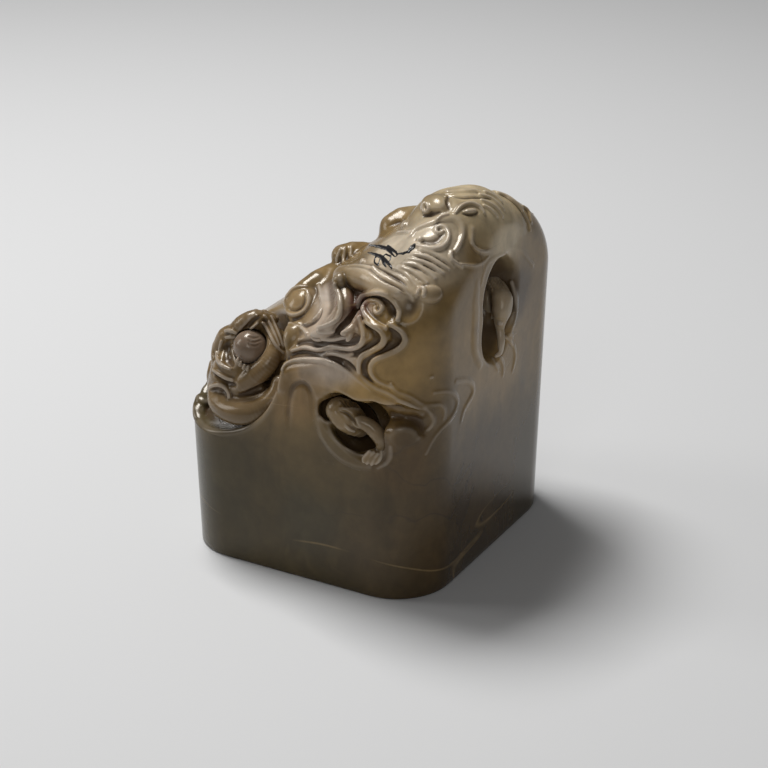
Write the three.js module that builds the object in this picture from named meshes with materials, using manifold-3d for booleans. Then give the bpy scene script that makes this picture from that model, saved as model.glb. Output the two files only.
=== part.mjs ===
// Carved soapstone seal: a square column whose sloping top is cut into a dragon's head among clouds.
// Millimetres, +Z up. The origin is the centre of the printing face, on which the seal stands.
// The slope runs from its low end at -X up to the crown at +X. The side at -Y holds the low cave.
import * as THREE from "three";
import { mergeVertices } from "three/addons/utils/BufferGeometryUtils.js";
import Module from "manifold-3d";

const wasm = await Module();
wasm.setup();

// Column
const FOOT_LENGTH = 60;
const FOOT_WIDTH = 64;
const CORNER_RADIUS = 12.5;
const FLARE_SLOPE = 0.00067;
const COLUMN_HEIGHT = 29;
const FOOT_CHAMFER = 0.5;

// Printing face
const PRINT_DEPTH = 0.8;
const PRINT_BORDER = 3.5;
const FRET_LINE = 2.2;
const FRET_PITCH = 5;

// Carved mass: heights of the ridge line from the low end to the crown
const LOW_END_HEIGHT = 42;
const SLOPE_START_HEIGHT = 48.8;
const EYE_HEIGHT = 58.2;
const BROW_HEIGHT = 67.2;
const FOREHEAD_HEIGHT = 74.4;
const CROWN_HEIGHT = 78.9;
const CROWN_BACK_HEIGHT = 77.6;
const BACK_EDGE_HEIGHT = 73;
const CHEEK_FALL = 17.5;
const LOW_CORNER_FALL = 10;
const CHEEK_POWER = 2.4;
const CHEEK_REACH = 33;
const TOP_EDGE = 5;

// Clearance between a figure and the stone round it
const SEAT_GAP = 0.3;

// Rounded forms left proud on the head
const EYE_LOBE = [3.9, 4.3, 2.9];
const EYE_LID_RADIUS = 3;
const EYEBALL_RADIUS = 2;
const EAR_BOSS = [2.5, 1.8, 1.5];
const CHEEK_LOBE = [2.9, 3.7, 2.4];
const SPIRAL_BOSS = [1.4, 2, 1.6];
const CORNER_BOSS = [2.1, 2.2, 1.5];
const BROW_RADIUS = 2.4;
const SNOUT_RADIUS = 2.1;
const EYE_TOP_RADIUS = 3.1;
const NOSE_RADIUS = 2.9;
const FOREHEAD_RADIUS = 3.5;
const BAND_RADIUS = 3;
const WAVE_RADIUS = 0.7;
const LIP_RADIUS = 0.6;
const MANE_RADIUS = 0.55;
const CURL_RADIUS = 0.6;

// Gouged hollows between them
const VALLEY_RADIUS = 2.2;
const MOUTH_GROOVE_RADIUS = 1.6;
const SPIRAL_GROOVE_RADIUS = 1.4;
const WAVE_GROOVE_RADIUS = 1.5;
const PANEL_GROOVE_RADIUS = 0.8;
const SPIRAL_PIT = [2.2, 2.2, 1.6];
const BROW_END_PIT = [2.4, 2.8, 1.5];
const CAVE_SIDE_PIT = [2.2, 2, 1.8];
const CORNER_PIT = [2, 2.8, 1.5];

// Low cave on the near side, a channel that winds down, and the deeper one under it
const LOW_CAVE_RADIUS = 4.5;
const LOW_PIT_RADIUS = 3.6;
const LOW_FOOT_RADIUS = 1.8;

// High cave on the crown's side, its narrower foot and the pit there, measured from the wall at +X
const HIGH_CAVE_WIDTH = 15.6;
const HIGH_CAVE_RISE = 17.2;
const HIGH_CAVE_DEPTH = 9.2;
const HIGH_CAVE_PLACE = [2.8, 0.3, 59.2];
const HIGH_FOOT_WIDTH = 13.2;
const HIGH_FOOT_RISE = 16;
const HIGH_FOOT_DEPTH = 7.5;
const HIGH_FOOT_PLACE = [2.8, -1.2, 52.5];
const HIGH_PIT_WIDTH = 9.2;
const HIGH_PIT_RISE = 8.4;
const HIGH_PIT_DEPTH = 6.5;
const HIGH_PIT_PLACE = [-1.4, -2.8, 50.8];

// Ledge cut from the low corner, and the pearl that the beast on it holds
const LEDGE_LENGTH = 38;
const LEDGE_WIDTH = 32.2;
const LEDGE_FLOOR_HEIGHT = 29.5;
const LEDGE_TOP_HEIGHT = 62.3;
const LEDGE_PLACE = [-22, -28];
const PEARL_RADIUS = 3.6;
const PEARL_CLEARANCE = 0.3;
const PEARL_PLACE = [-14.8, -25, 47.4];

// Dark inclusion carved as tendrils
const TENDRIL_RADIUS = 0.5;

const HALF_LENGTH = FOOT_LENGTH / 2;
const HALF_WIDTH = FOOT_WIDTH / 2;
const vec = (x, y, z) => new THREE.Vector3(x, y, z);

function solid(geometry) {
  const bare = geometry.clone();
  bare.deleteAttribute("normal");
  bare.deleteAttribute("uv");
  const merged = mergeVertices(bare, 1e-4);
  return new wasm.Manifold(new wasm.Mesh({
    numProp: 3,
    vertProperties: new Float32Array(merged.attributes.position.array),
    triVerts: new Uint32Array(merged.index.array),
  }));
}

function join(geometries) {
  return geometries.map(solid).reduce((sum, next) => sum.add(next));
}

function closedMesh(points, faces) {
  const geometry = new THREE.BufferGeometry();
  geometry.setAttribute("position", new THREE.Float32BufferAttribute(points.flatMap((p) => p.toArray()), 3));
  geometry.setIndex(faces.flat());
  return geometry;
}

// Outline of the column at a height: a rounded rectangle that widens slowly upwards

function flareAt(z) {
  return 1 + FLARE_SLOPE * z;
}

const CORNER_STEPS = 7;
const STRAIGHT_STEPS = 6;

function outline(scale) {
  const points = [];
  const a = HALF_LENGTH - CORNER_RADIUS;
  const b = HALF_WIDTH - CORNER_RADIUS;
  const corners = [[a, b, 0], [-a, b, 1], [-a, -b, 2], [a, -b, 3]];
  corners.forEach(([cx, cy, quarter], i) => {
    for (let s = 0; s <= CORNER_STEPS; s++) {
      const angle = (quarter + s / CORNER_STEPS) * Math.PI / 2;
      points.push([cx + CORNER_RADIUS * Math.cos(angle), cy + CORNER_RADIUS * Math.sin(angle)]);
    }
    const [nx, ny, nextQuarter] = corners[(i + 1) % corners.length];
    const [lx, ly] = points[points.length - 1];
    const nextX = nx + CORNER_RADIUS * Math.cos(nextQuarter * Math.PI / 2);
    const nextY = ny + CORNER_RADIUS * Math.sin(nextQuarter * Math.PI / 2);
    for (let s = 1; s < STRAIGHT_STEPS; s++) {
      points.push([lx + (nextX - lx) * s / STRAIGHT_STEPS, ly + (nextY - ly) * s / STRAIGHT_STEPS]);
    }
  });
  return points.map(([x, y]) => [x * scale, y * scale]);
}

// Depth of a plan point inside the outline, negative outside

function insetAt(x, y, scale) {
  const qx = Math.abs(x) / scale - (HALF_LENGTH - CORNER_RADIUS);
  const qy = Math.abs(y) / scale - (HALF_WIDTH - CORNER_RADIUS);
  const outside = Math.hypot(Math.max(qx, 0), Math.max(qy, 0));
  return CORNER_RADIUS - outside - Math.min(Math.max(qx, qy), 0);
}

const RIDGE_LINE = [
  [-HALF_LENGTH - 1, LOW_END_HEIGHT],
  [-22, SLOPE_START_HEIGHT],
  [-9.5, EYE_HEIGHT],
  [2.5, BROW_HEIGHT],
  [12, FOREHEAD_HEIGHT],
  [21, CROWN_HEIGHT],
  [27.5, CROWN_BACK_HEIGHT],
  [HALF_LENGTH + 1.5, BACK_EDGE_HEIGHT],
];

function ridgeHeight(x) {
  const last = RIDGE_LINE.length - 1;
  const clamped = Math.min(Math.max(x, RIDGE_LINE[0][0]), RIDGE_LINE[last][0]);
  let i = 1;
  while (i < last && clamped > RIDGE_LINE[i][0]) {
    i++;
  }
  const [x0, z0] = RIDGE_LINE[i - 1];
  const [x1, z1] = RIDGE_LINE[i];
  return z0 + (z1 - z0) * (clamped - x0) / (x1 - x0);
}

// Height of the stone's dressed surface over a plan point, before any figure is cut in it

const SLOPE_STEP = 0.5;

function topHeight(x, y) {
  const along = THREE.MathUtils.clamp(-x / HALF_LENGTH, 0, 1);
  const deepest = THREE.MathUtils.lerp(CHEEK_FALL, LOW_CORNER_FALL, along);
  const fall = deepest * (Math.abs(y) / CHEEK_REACH) ** CHEEK_POWER;
  const flat = ridgeHeight(x) - fall;
  const slopeAlong = (ridgeHeight(x + SLOPE_STEP) - ridgeHeight(x - SLOPE_STEP)) / (2 * SLOPE_STEP);
  const slopeAcross = CHEEK_POWER * fall / Math.max(Math.abs(y), 1);
  const steepness = Math.hypot(1, slopeAlong, slopeAcross);
  const inset = THREE.MathUtils.clamp(insetAt(x, y, flareAt(flat)), 0, TOP_EDGE);
  return flat - steepness * (Math.sqrt(TOP_EDGE) - Math.sqrt(inset)) ** 2;
}

// A tapered round strand through points, with blunt pointed ends

const ROUND_SIDES = 12;
const BOSS_SIDES = 10;
const THICK_SIDES = 8;
const THIN_SIDES = 5;
const THICK_STEP = 3;
const THIN_STEP = 2.5;
const BLUNT_TIP = 0.6;

function strand(places, radii, sides = THICK_SIDES, stepLength = THICK_STEP) {
  const curve = new THREE.CatmullRomCurve3(places.map((place) => vec(...place)), false, "centripetal");
  const steps = Math.max(4, Math.round(curve.getLength() / stepLength));
  const frames = curve.computeFrenetFrames(steps, false);
  const start = curve.getPointAt(0);
  const end = curve.getPointAt(1);
  const radiusAt = (t) => {
    const place = t * (radii.length - 1);
    const i = Math.min(Math.floor(place), radii.length - 2);
    return radii[i] + (radii[i + 1] - radii[i]) * (place - i);
  };
  const vertices = [start.clone().addScaledVector(frames.tangents[0], -radii[0] * BLUNT_TIP)];
  for (let i = 0; i <= steps; i++) {
    const centre = curve.getPointAt(i / steps);
    const radius = radiusAt(i / steps);
    for (let s = 0; s < sides; s++) {
      const angle = s / sides * 2 * Math.PI;
      vertices.push(centre.clone()
        .addScaledVector(frames.normals[i], radius * Math.cos(angle))
        .addScaledVector(frames.binormals[i], radius * Math.sin(angle)));
    }
  }
  vertices.push(end.clone().addScaledVector(frames.tangents[steps], radii[radii.length - 1] * BLUNT_TIP));
  const last = vertices.length - 1;
  const faces = [];
  for (let s = 0; s < sides; s++) {
    const next = (s + 1) % sides;
    faces.push([0, 1 + next, 1 + s]);
    faces.push([last, last - sides + s, last - sides + next]);
    for (let i = 0; i < steps; i++) {
      const a = 1 + i * sides + s;
      const b = 1 + i * sides + next;
      faces.push([a, b, b + sides]);
      faces.push([a, b + sides, a + sides]);
    }
  }
  return closedMesh(vertices, faces);
}

function ball(centre, radiusX, radiusY = radiusX, radiusZ = radiusX, sides = ROUND_SIDES) {
  const geometry = new THREE.SphereGeometry(1, sides, Math.round(sides * 2 / 3));
  geometry.rotateX(Math.PI / 2);
  geometry.scale(radiusX, radiusY, radiusZ);
  geometry.translate(...centre);
  return geometry;
}

const bead = (centre, radius) => ball(centre, radius, radius, radius, BOSS_SIDES);

// Where the stone's surface lies behind a point of the near side's elevation, as a distance from the middle

const HALVINGS = 24;

function sideDepth(x, z) {
  let inside = 0;
  let outside = HALF_WIDTH * flareAt(CROWN_HEIGHT);
  for (let i = 0; i < HALVINGS; i++) {
    const middle = (inside + outside) / 2;
    if (insetAt(x, middle, flareAt(z)) > 0 && z < topHeight(x, middle)) {
      inside = middle;
    } else {
      outside = middle;
    }
  }
  return inside;
}

function sideFacing([x, z]) {
  const along = (sideDepth(x + SLOPE_STEP, z) - sideDepth(x - SLOPE_STEP, z)) / (2 * SLOPE_STEP);
  const up = (sideDepth(x, z + SLOPE_STEP) - sideDepth(x, z - SLOPE_STEP)) / (2 * SLOPE_STEP);
  return vec(-along, -1, -up).normalize();
}

// A point drawn on the near side's elevation, set on the stone and raised by a small amount

function onSide([x, z], lift = 0) {
  return vec(x, -sideDepth(x, z), z).addScaledVector(sideFacing([x, z]), lift).toArray();
}

// An ellipsoid set flat against the near side; sizes are across, up and out

function boss(place, [across, up, out], lift = 0) {
  const normal = sideFacing(place);
  const side = vec(0, 0, 1).cross(normal).normalize();
  const geometry = new THREE.SphereGeometry(1, BOSS_SIDES, BOSS_SIDES / 2);
  geometry.scale(across, up, out);
  geometry.applyMatrix4(new THREE.Matrix4().makeBasis(side, normal.clone().cross(side), normal));
  geometry.translate(...onSide(place, lift));
  return geometry;
}

// Mass of stone above the column, with its dressed top in rings that close in on the middle

const TOP_RING_INSETS = [0, 0.01, 0.03, 0.055, 0.09, 0.17, 0.27, 0.38, 0.5, 0.64, 0.8];

function stoneMass() {
  const count = outline(1).length;
  const points = [];
  outline(flareAt(COLUMN_HEIGHT)).forEach(([x, y]) => points.push(vec(x, y, COLUMN_HEIGHT)));
  const edge = outline(1).map(([x, y]) => topHeight(x * flareAt(CROWN_HEIGHT), y * flareAt(CROWN_HEIGHT)));
  outline(1).forEach(([x, y], i) => {
    const z = (COLUMN_HEIGHT + edge[i]) / 2;
    points.push(vec(x * flareAt(z), y * flareAt(z), z));
  });
  for (const inset of TOP_RING_INSETS) {
    outline(1).forEach(([x, y], i) => {
      const scale = flareAt(edge[i]) * (1 - inset);
      const height = inset === 0 ? edge[i] : topHeight(x * scale, y * scale);
      points.push(vec(x * scale, y * scale, height));
    });
  }
  const rings = TOP_RING_INSETS.length + 2;
  const bottom = points.push(vec(0, 0, COLUMN_HEIGHT)) - 1;
  const summit = points.push(vec(0, 0, topHeight(0, 0))) - 1;
  const faces = [];
  for (let s = 0; s < count; s++) {
    const next = (s + 1) % count;
    faces.push([bottom, next, s]);
    for (let r = 0; r < rings - 1; r++) {
      const a = r * count + s;
      const b = r * count + next;
      faces.push([a, b, b + count]);
      faces.push([a, b + count, a + count]);
    }
    faces.push([(rings - 1) * count + s, (rings - 1) * count + next, summit]);
  }
  return closedMesh(points, faces);
}

// Seal body: the plain polished column, with a fret cut in its printing face

function columnBlank() {
  const count = outline(1).length;
  const inner = 1 - FOOT_CHAMFER / HALF_WIDTH;
  const levels = [[inner, 0], [flareAt(FOOT_CHAMFER), FOOT_CHAMFER], [flareAt(COLUMN_HEIGHT), COLUMN_HEIGHT]];
  const points = levels.flatMap(([scale, z]) => outline(scale).map(([x, y]) => vec(x, y, z)));
  const bottom = points.push(vec(0, 0, 0)) - 1;
  const top = points.push(vec(0, 0, COLUMN_HEIGHT)) - 1;
  const faces = [];
  for (let s = 0; s < count; s++) {
    const next = (s + 1) % count;
    faces.push([bottom, next, s]);
    faces.push([top, 2 * count + s, 2 * count + next]);
    for (const ring of [0, 1]) {
      const a = ring * count + s;
      const b = ring * count + next;
      faces.push([a, b, b + count]);
      faces.push([a, b + count, a + count]);
    }
  }
  return closedMesh(points, faces);
}

function bar(x0, y0, x1, y1) {
  const geometry = new THREE.BoxGeometry(
    Math.abs(x1 - x0) + FRET_LINE, Math.abs(y1 - y0) + FRET_LINE, 2 * PRINT_DEPTH);
  geometry.translate((x0 + x1) / 2, (y0 + y1) / 2, 0);
  return geometry;
}

// One square spiral of the fret, in the quarter given by its signs

function fretQuarter(signX, signY) {
  const reachX = HALF_LENGTH - PRINT_BORDER;
  const reachY = HALF_WIDTH - PRINT_BORDER;
  const corners = [
    [0, 0],
    [reachX - FRET_PITCH, 0],
    [reachX - FRET_PITCH, reachY - FRET_PITCH],
    [FRET_PITCH, reachY - FRET_PITCH],
    [FRET_PITCH, FRET_PITCH],
    [reachX - 2 * FRET_PITCH, FRET_PITCH],
    [reachX - 2 * FRET_PITCH, reachY - 2 * FRET_PITCH],
    [2 * FRET_PITCH, reachY - 2 * FRET_PITCH],
    [2 * FRET_PITCH, 2 * FRET_PITCH],
  ];
  const bars = [];
  for (let i = 1; i < corners.length; i++) {
    const [x0, y0] = corners[i - 1];
    const [x1, y1] = corners[i];
    bars.push(bar(signX * x0, signY * y0, signX * x1, signY * y1));
  }
  return bars;
}

function sealBody() {
  const inner = new THREE.Shape();
  const scale = 1 - PRINT_BORDER / HALF_WIDTH;
  outline(scale).forEach(([x, y], i) => (i === 0 ? inner.moveTo(x, y) : inner.lineTo(x, y)));
  const field = new THREE.ExtrudeGeometry(inner, { depth: 2 * PRINT_DEPTH, bevelEnabled: false });
  field.translate(0, 0, -PRINT_DEPTH);
  const quarters = [[1, 1], [-1, 1], [-1, -1], [1, -1]].flatMap(([sx, sy]) => fretQuarter(sx, sy));
  const recess = solid(field).subtract(join(quarters));
  return solid(columnBlank()).subtract(recess);
}

// Forms left proud on the head, drawn as [x, z] on the near side's elevation

const EYE_PLACE = [-5.5, 57];
const CHEEK_PLACE = [-3.5, 52.5];
const SPIRAL_PLACE = [17.5, 64];
const CORNER_PLACE = [24.5, 38];
const EAR_PLACE = [27.5, 67];
const BROW_PATH = [[5, 64.5], [10, 66], [14, 67], [18.5, 67], [22, 67], [25, 66]];
const SNOUT_PATH = [[4.5, 64], [7.5, 64], [10, 63], [10, 60], [8.5, 58], [6.5, 56.5], [4, 55.5]];
const SPIRAL_PATH = [[13, 63], [13, 64], [14, 65.5], [17, 66.5], [20, 66.5], [22.5, 65.5], [23.5, 63]];
const WAVE_PATHS = [
  [[14.5, 61.5], [17, 58.5], [16.5, 57], [14.5, 55.5], [9.5, 54.5], [5.5, 53.5], [-1.5, 51]],
  [[16.5, 61.5], [20.5, 60.5], [21.5, 59.5], [21, 58], [19, 56], [16.5, 54.5], [16, 51]],
  [[22, 62], [25.5, 60], [25.5, 58], [24, 56.5], [21.5, 55.5], [19.5, 54], [19, 52.5], [20, 50.5], [23, 49]],
];
const BAND_PATH = [[-3, 43.5], [-2, 47], [1, 48.5], [7, 49.5], [11.5, 49], [15, 47.5], [18, 46], [24.5, 43.5]];
const BAND_LIP_PATHS = [
  [[-3, 47], [0, 49.5], [3.5, 50.5], [7.5, 51.5], [10.5, 51], [13.5, 50], [16, 48.5], [19, 47.5]],
  [[13, 52.5], [15, 51.5], [17, 50], [19.5, 48.5], [22.5, 48], [24.5, 46], [26.5, 44.5]],
];
const MANE_PATHS = [
  [[12.5, 68.5], [20.5, 68.5], [25.5, 66.5]],
  [[17, 70], [22.5, 70], [26, 68]],
  [[20.5, 71.5], [25.5, 71], [27.5, 69.5]],
];
const CURL_PATH = [[18, 75], [20.5, 76.5], [25, 77], [28, 74.5], [28.5, 73.5]];
const BAND_SINK = 2;
const LOBE_LIFT = 0.7;

// Rounded forms near the ridge, as points and centre lines
const EYE_LID_PLACE = [-6.7, -18.5, 56.2];
const EYEBALL_PLACE = [-7.3, -18.9, 57];
const EYE_TOP_PATH = [[-7.5, -19.5, 57], [-6.5, -17, 58.5], [-5, -14, 59.5], [-4, -10, 60.5]];
const NOSE_PATH = [[-3, -6, 63.5], [-2, -4.5, 64], [-0.5, -2.5, 64.5]];
const FOREHEAD_PATH = [[7, -2.5, 71], [8.5, -1, 71.5], [10, 1, 72]];

// Hollows gouged between those forms, drawn on the near side
const VALLEY_PATH = [[0.5, 62], [2, 61.5], [4, 61], [5.5, 59.5], [3.5, 57.5]];
const MOUTH_GROOVE_PATH = [[15, 64.5], [13.5, 62], [13, 60.5], [11.5, 58.5], [9.5, 57.5]];
const SPIRAL_GROOVE_PATH = [[14.5, 63], [15, 64.5], [18, 65.5], [21, 65.5], [22.5, 64.5], [22, 63]];
const SPIRAL_PIT_PLACE = [21.5, 64];
const BROW_END_PLACE = [25, 65.5];
const WAVE_GROOVE_PATHS = [
  [[14.5, 58.5], [15.5, 58], [14, 56.5], [10.5, 56], [6.5, 54.5], [1.5, 54], [-0.5, 52.5]],
  [[16.5, 61], [19.5, 60], [19.5, 58], [18, 56.5], [14.5, 55], [10.5, 54], [6.5, 52.5], [-3, 49.5]],
  [[22.5, 61], [24, 59.5], [23.5, 58], [21, 56.5], [18, 54.5], [17, 52.5], [18, 50.5], [20, 49]],
];
const PANEL_GROOVE_PATH = [[-1, 34.5], [-1, 39.5], [0, 44], [2, 46], [4.5, 45], [5, 42], [5, 37]];
const CAVE_SIDE_PLACE = [23, 42.5];
const CORNER_PIT_PLACE = [27, 40.5];
const VALLEY_LIFT = 1.4;
const GROOVE_LIFT = 0.4;

// The low cave's two channels and its foot, as points of their centre lines
const LOW_CAVE_PATH = [[7.5, -33, 41.5], [9, -32.5, 41], [10.5, -31.5, 42], [12.5, -30.5, 42], [15, -30, 40.5],
  [17.5, -29.5, 38], [19, -30, 35.5]];
const LOW_PIT_PATH = [[8, -30.5, 40], [10, -28, 39.5], [12.5, -27.5, 37.5], [15, -27.5, 35]];
const LOW_FOOT_PATH = [[12.5, -30.5, 35], [13.5, -29, 34], [15.5, -28.5, 33.5]];

// The same geometry on the far side, with its faces still turned outwards

const mirrorY = new THREE.Matrix4().makeScale(1, -1, 1);

function farTwin(geometry) {
  const twin = geometry.clone().applyMatrix4(mirrorY);
  const index = twin.index.array;
  for (let i = 0; i < index.length; i += 3) {
    [index[i], index[i + 1]] = [index[i + 1], index[i]];
  }
  return twin;
}

function bothSides(geometries) {
  return geometries.flatMap((geometry) => [geometry, farTwin(geometry)]);
}

// Radii of a strand along its length, as shares of its full radius

const BOTH_ENDS = [0.7, 1, 1, 0.7];
const FIRST_END = [0.9, 1, 1];
const LONG_FALL = [0.8, 1, 1, 0.9, 0.6, 0.3];
const LAST_END = [1, 1, 0.7];
const SHORT_ENDS = [0.7, 1, 0.8];
const MOUTH_SWELL = [0.5, 0.9, 1, 0.8];
const tapered = (radius, shares) => shares.map((share) => radius * share);

// A thin ridge, or groove, along a path drawn on the near side

function line(path, radius, lift = 0) {
  return strand(path.map((place) => onSide(place, lift)), tapered(radius, BOTH_ENDS), THIN_SIDES, THIN_STEP);
}

// A thick roll, or channel, along a path drawn on the near side

function roll(path, radius, lift = 0, shares = BOTH_ENDS) {
  return strand(path.map((place) => onSide(place, lift)), tapered(radius, shares));
}

function headForms() {
  return [
    boss(EYE_PLACE, EYE_LOBE, LOBE_LIFT),
    boss(CHEEK_PLACE, CHEEK_LOBE, -LOBE_LIFT),
    bead(EYE_LID_PLACE, EYE_LID_RADIUS),
    bead(EYEBALL_PLACE, EYEBALL_RADIUS),
    roll(BROW_PATH, BROW_RADIUS, 0, LONG_FALL),
    roll(SNOUT_PATH, SNOUT_RADIUS, GROOVE_LIFT),
  ];
}

function headLines() {
  return [
    boss(SPIRAL_PLACE, SPIRAL_BOSS),
    roll(BAND_PATH, BAND_RADIUS, -BAND_SINK),
    line(SPIRAL_PATH, LIP_RADIUS),
    ...BAND_LIP_PATHS.map((path) => line(path, LIP_RADIUS)),
    ...WAVE_PATHS.map((path) => line(path, WAVE_RADIUS)),
    ...MANE_PATHS.map((path) => line(path, MANE_RADIUS)),
  ];
}

function headCrest() {
  return [
    strand(NOSE_PATH, tapered(NOSE_RADIUS, LAST_END)),
    strand(FOREHEAD_PATH, tapered(FOREHEAD_RADIUS, FIRST_END)),
    line(CURL_PATH, CURL_RADIUS),
    boss(EAR_PLACE, EAR_BOSS),
    boss(CORNER_PLACE, CORNER_BOSS, -GROOVE_LIFT),
  ];
}

function headGrooves() {
  return [
    line(MOUTH_GROOVE_PATH, MOUTH_GROOVE_RADIUS),
    line(SPIRAL_GROOVE_PATH, SPIRAL_GROOVE_RADIUS, GROOVE_LIFT),
    ...WAVE_GROOVE_PATHS.map((path) => line(path, WAVE_GROOVE_RADIUS, GROOVE_LIFT)),
    boss(SPIRAL_PIT_PLACE, SPIRAL_PIT, GROOVE_LIFT),
    boss(BROW_END_PLACE, BROW_END_PIT, GROOVE_LIFT),
  ];
}

function lowCave() {
  return [
    strand(LOW_CAVE_PATH, tapered(LOW_CAVE_RADIUS, MOUTH_SWELL)),
    strand(LOW_PIT_PATH, tapered(LOW_PIT_RADIUS, BOTH_ENDS)),
    strand(LOW_FOOT_PATH, tapered(LOW_FOOT_RADIUS, BOTH_ENDS)),
    line(PANEL_GROOVE_PATH, PANEL_GROOVE_RADIUS, GROOVE_LIFT),
    boss(CAVE_SIDE_PLACE, CAVE_SIDE_PIT, GROOVE_LIFT / 2),
    boss(CORNER_PIT_PLACE, CORNER_PIT, GROOVE_LIFT),
  ];
}

const fromWall = ([x, y, z]) => [HALF_LENGTH + x, y, z];

function highCave() {
  const top = fromWall(HIGH_CAVE_PLACE);
  const foot = fromWall(HIGH_FOOT_PLACE);
  const pit = fromWall(HIGH_PIT_PLACE);
  return [
    ball(top, HIGH_CAVE_DEPTH, HIGH_CAVE_WIDTH / 2, HIGH_CAVE_RISE / 2, 2 * ROUND_SIDES),
    ball(foot, HIGH_FOOT_DEPTH, HIGH_FOOT_WIDTH / 2, HIGH_FOOT_RISE / 2, 2 * ROUND_SIDES),
    ball(pit, HIGH_PIT_DEPTH, HIGH_PIT_WIDTH / 2, HIGH_PIT_RISE / 2, BOSS_SIDES),
  ];
}

function ledgeHollow() {
  const centre = [...LEDGE_PLACE, (LEDGE_FLOOR_HEIGHT + LEDGE_TOP_HEIGHT) / 2];
  const rise = LEDGE_TOP_HEIGHT - LEDGE_FLOOR_HEIGHT;
  return ball(centre, LEDGE_LENGTH / 2, LEDGE_WIDTH / 2, rise / 2, 2 * ROUND_SIDES);
}

// Figures. Each list takes the amount by which its forms are grown, for the seat cut to receive them.

const grown = (radii, grow) => radii.map((radius) => radius + grow);

function ledgeBeastForms(grow) {
  const belly = [[-22, -23.5, 37], [-19.5, -23.5, 40], [-17, -23.5, 42], [-14, -23.5, 41.5]];
  const chin = [[-22.5, -21.5, 44.5], [-20.5, -22, 44], [-20, -21, 45]];
  const coil = [[-23, -26, 36.5], [-21, -27.5, 34.5], [-18, -29, 34], [-14, -30, 34.5], [-10.5, -29.5, 35.5],
    [-8.5, -28.5, 37], [-7, -27, 39], [-7, -26, 41]];
  const inside = [[-20, -27.5, 35], [-14.5, -28, 36], [-9.5, -27, 38.5]];
  const jaw = [[-13.5, -20.5, 51], [-11, -22, 49.5], [-9.5, -23.5, 47.5], [-10, -25.5, 45], [-12, -26.5, 42.5],
    [-15, -27.5, 40], [-17.5, -27.5, 38]];
  const brow = [[-13.5, -20, 51.5], [-15, -21.5, 52.5], [-17, -23, 51.5], [-20, -22.5, 49], [-22.5, -22.5, 47],
    [-24, -22.5, 45]];
  const lip = [[-24.5, -21.5, 46], [-24.5, -23, 44], [-24, -24, 42], [-21.5, -25, 41], [-19, -26, 40.5]];
  const side = [[-25.5, -22.5, 40.5], [-25.5, -23.5, 38], [-24, -24.5, 36]];
  const hair = [[-14.5, -20, 51.5], [-11.5, -21, 49.5], [-9.5, -22, 48], [-7.5, -23, 46]];
  return [
    ball([-15.5, -19.5, 43], ...grown([9, 5.6, 7.6], grow)),
    strand(belly, grown([3.9, 5.4, 5.6, 4.2], grow)),
    strand(chin, grown([2.8, 3.2, 3.4], grow)),
    strand(inside, grown([2.2, 2.4, 2], grow)),
    strand(coil, grown([2, 2.7, 2.6, 1.8], grow)),
    strand(jaw, grown([1.5, 1.9, 2.6, 1.8], grow)),
    strand(brow, grown([1.8, 2.3, 2.1, 1.8], grow)),
    strand(lip, grown([1.1, 1.4, 1.1], grow), THIN_SIDES),
    strand(side, grown([1.1, 1.4, 1.3], grow), THIN_SIDES),
    strand(hair, grown([1.6, 1.6, 1.5, 1.2], grow), THIN_SIDES),
  ];
}

function lowCaveDragonForms(grow) {
  const back = [[10, -30, 40], [12, -30, 39], [14, -29.5, 37.5], [16, -29.5, 36], [18.5, -29.5, 34.5]];
  const neck = [[11, -29, 41], [13, -28, 40.5], [15.5, -27.5, 39], [17.5, -27.5, 37]];
  const leg = [[14, -31.5, 39], [16, -30.5, 38.5], [18, -30, 37], [19.5, -30, 35.5], [20.5, -30, 34]];
  const foot = [[17, -32, 32.5], [18.5, -31.5, 32.5], [20, -30.5, 33]];
  return [
    strand(back, grown([2.7, 3.3, 2.9, 2.3, 1.7], grow)),
    strand(neck, grown([2.2, 2.3, 2, 1.4], grow)),
    strand(leg, grown([0.9, 1.3, 1.3, 1.1], grow), THIN_SIDES),
    strand(foot, grown([1.1, 1.5, 1.2], grow), THIN_SIDES),
  ];
}

function highCaveDragonForms(grow) {
  const neck = [[-5, 6.5, 60], [-4, 6.5, 59], [-2.5, 6, 57.5]];
  const body = [[-2.5, 6, 58], [-1.5, 5.5, 56.5], [-1, 4.5, 54.5], [-1, 4, 52.5], [-0.5, 3, 50.5],
    [0, 2.5, 48.5], [0, 1.5, 46.5]];
  const wing = [[-6, 7, 58], [-5, 6, 55.5], [-4.5, 5, 53], [-3.5, 5, 51.5]];
  return [
    strand(neck.map(fromWall), grown([1.3, 1.8, 1.8], grow)),
    strand(body.map(fromWall), grown([1.6, 1.9, 1.5, 0.9, 1], grow)),
    strand(wing.map(fromWall), grown([1.8, 2.3, 2.1, 1.2], grow)),
  ];
}

function crownBeastForms(grow) {
  const back = [[22, 4, 73.5], [17, 9, 71], [10, 11, 67.5], [3, 11, 63]];
  const mane = [[22, -5, 73], [25, -2, 73.5], [26, 4, 72], [26, 9, 70]];
  return [
    ball([20.5, -1.5, 73], ...grown([10.2, 10.4, 8.4], grow), 2 * ROUND_SIDES),
    ball([16.5, -2.5, 74.5], ...grown([3.6, 5, 4.1], grow), BOSS_SIDES),
    strand(back, grown([7, 6.6, 5.4, 3.6], grow)),
    strand(mane, grown([5.4, 5.6, 5.2, 4], grow)),
  ];
}

const TENDRIL_PATHS = [
  [[0.5, -7.5], [4, -10], [7.6, -12.5], [13.6, -17.4], [17.3, -19.4], [19.4, -19.2]],
  [[6.5, -11.8], [8.5, -15], [13.4, -20], [16.4, -21.4]],
  [[9.4, -14], [11.5, -13.4], [13.4, -14.4]],
];

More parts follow.
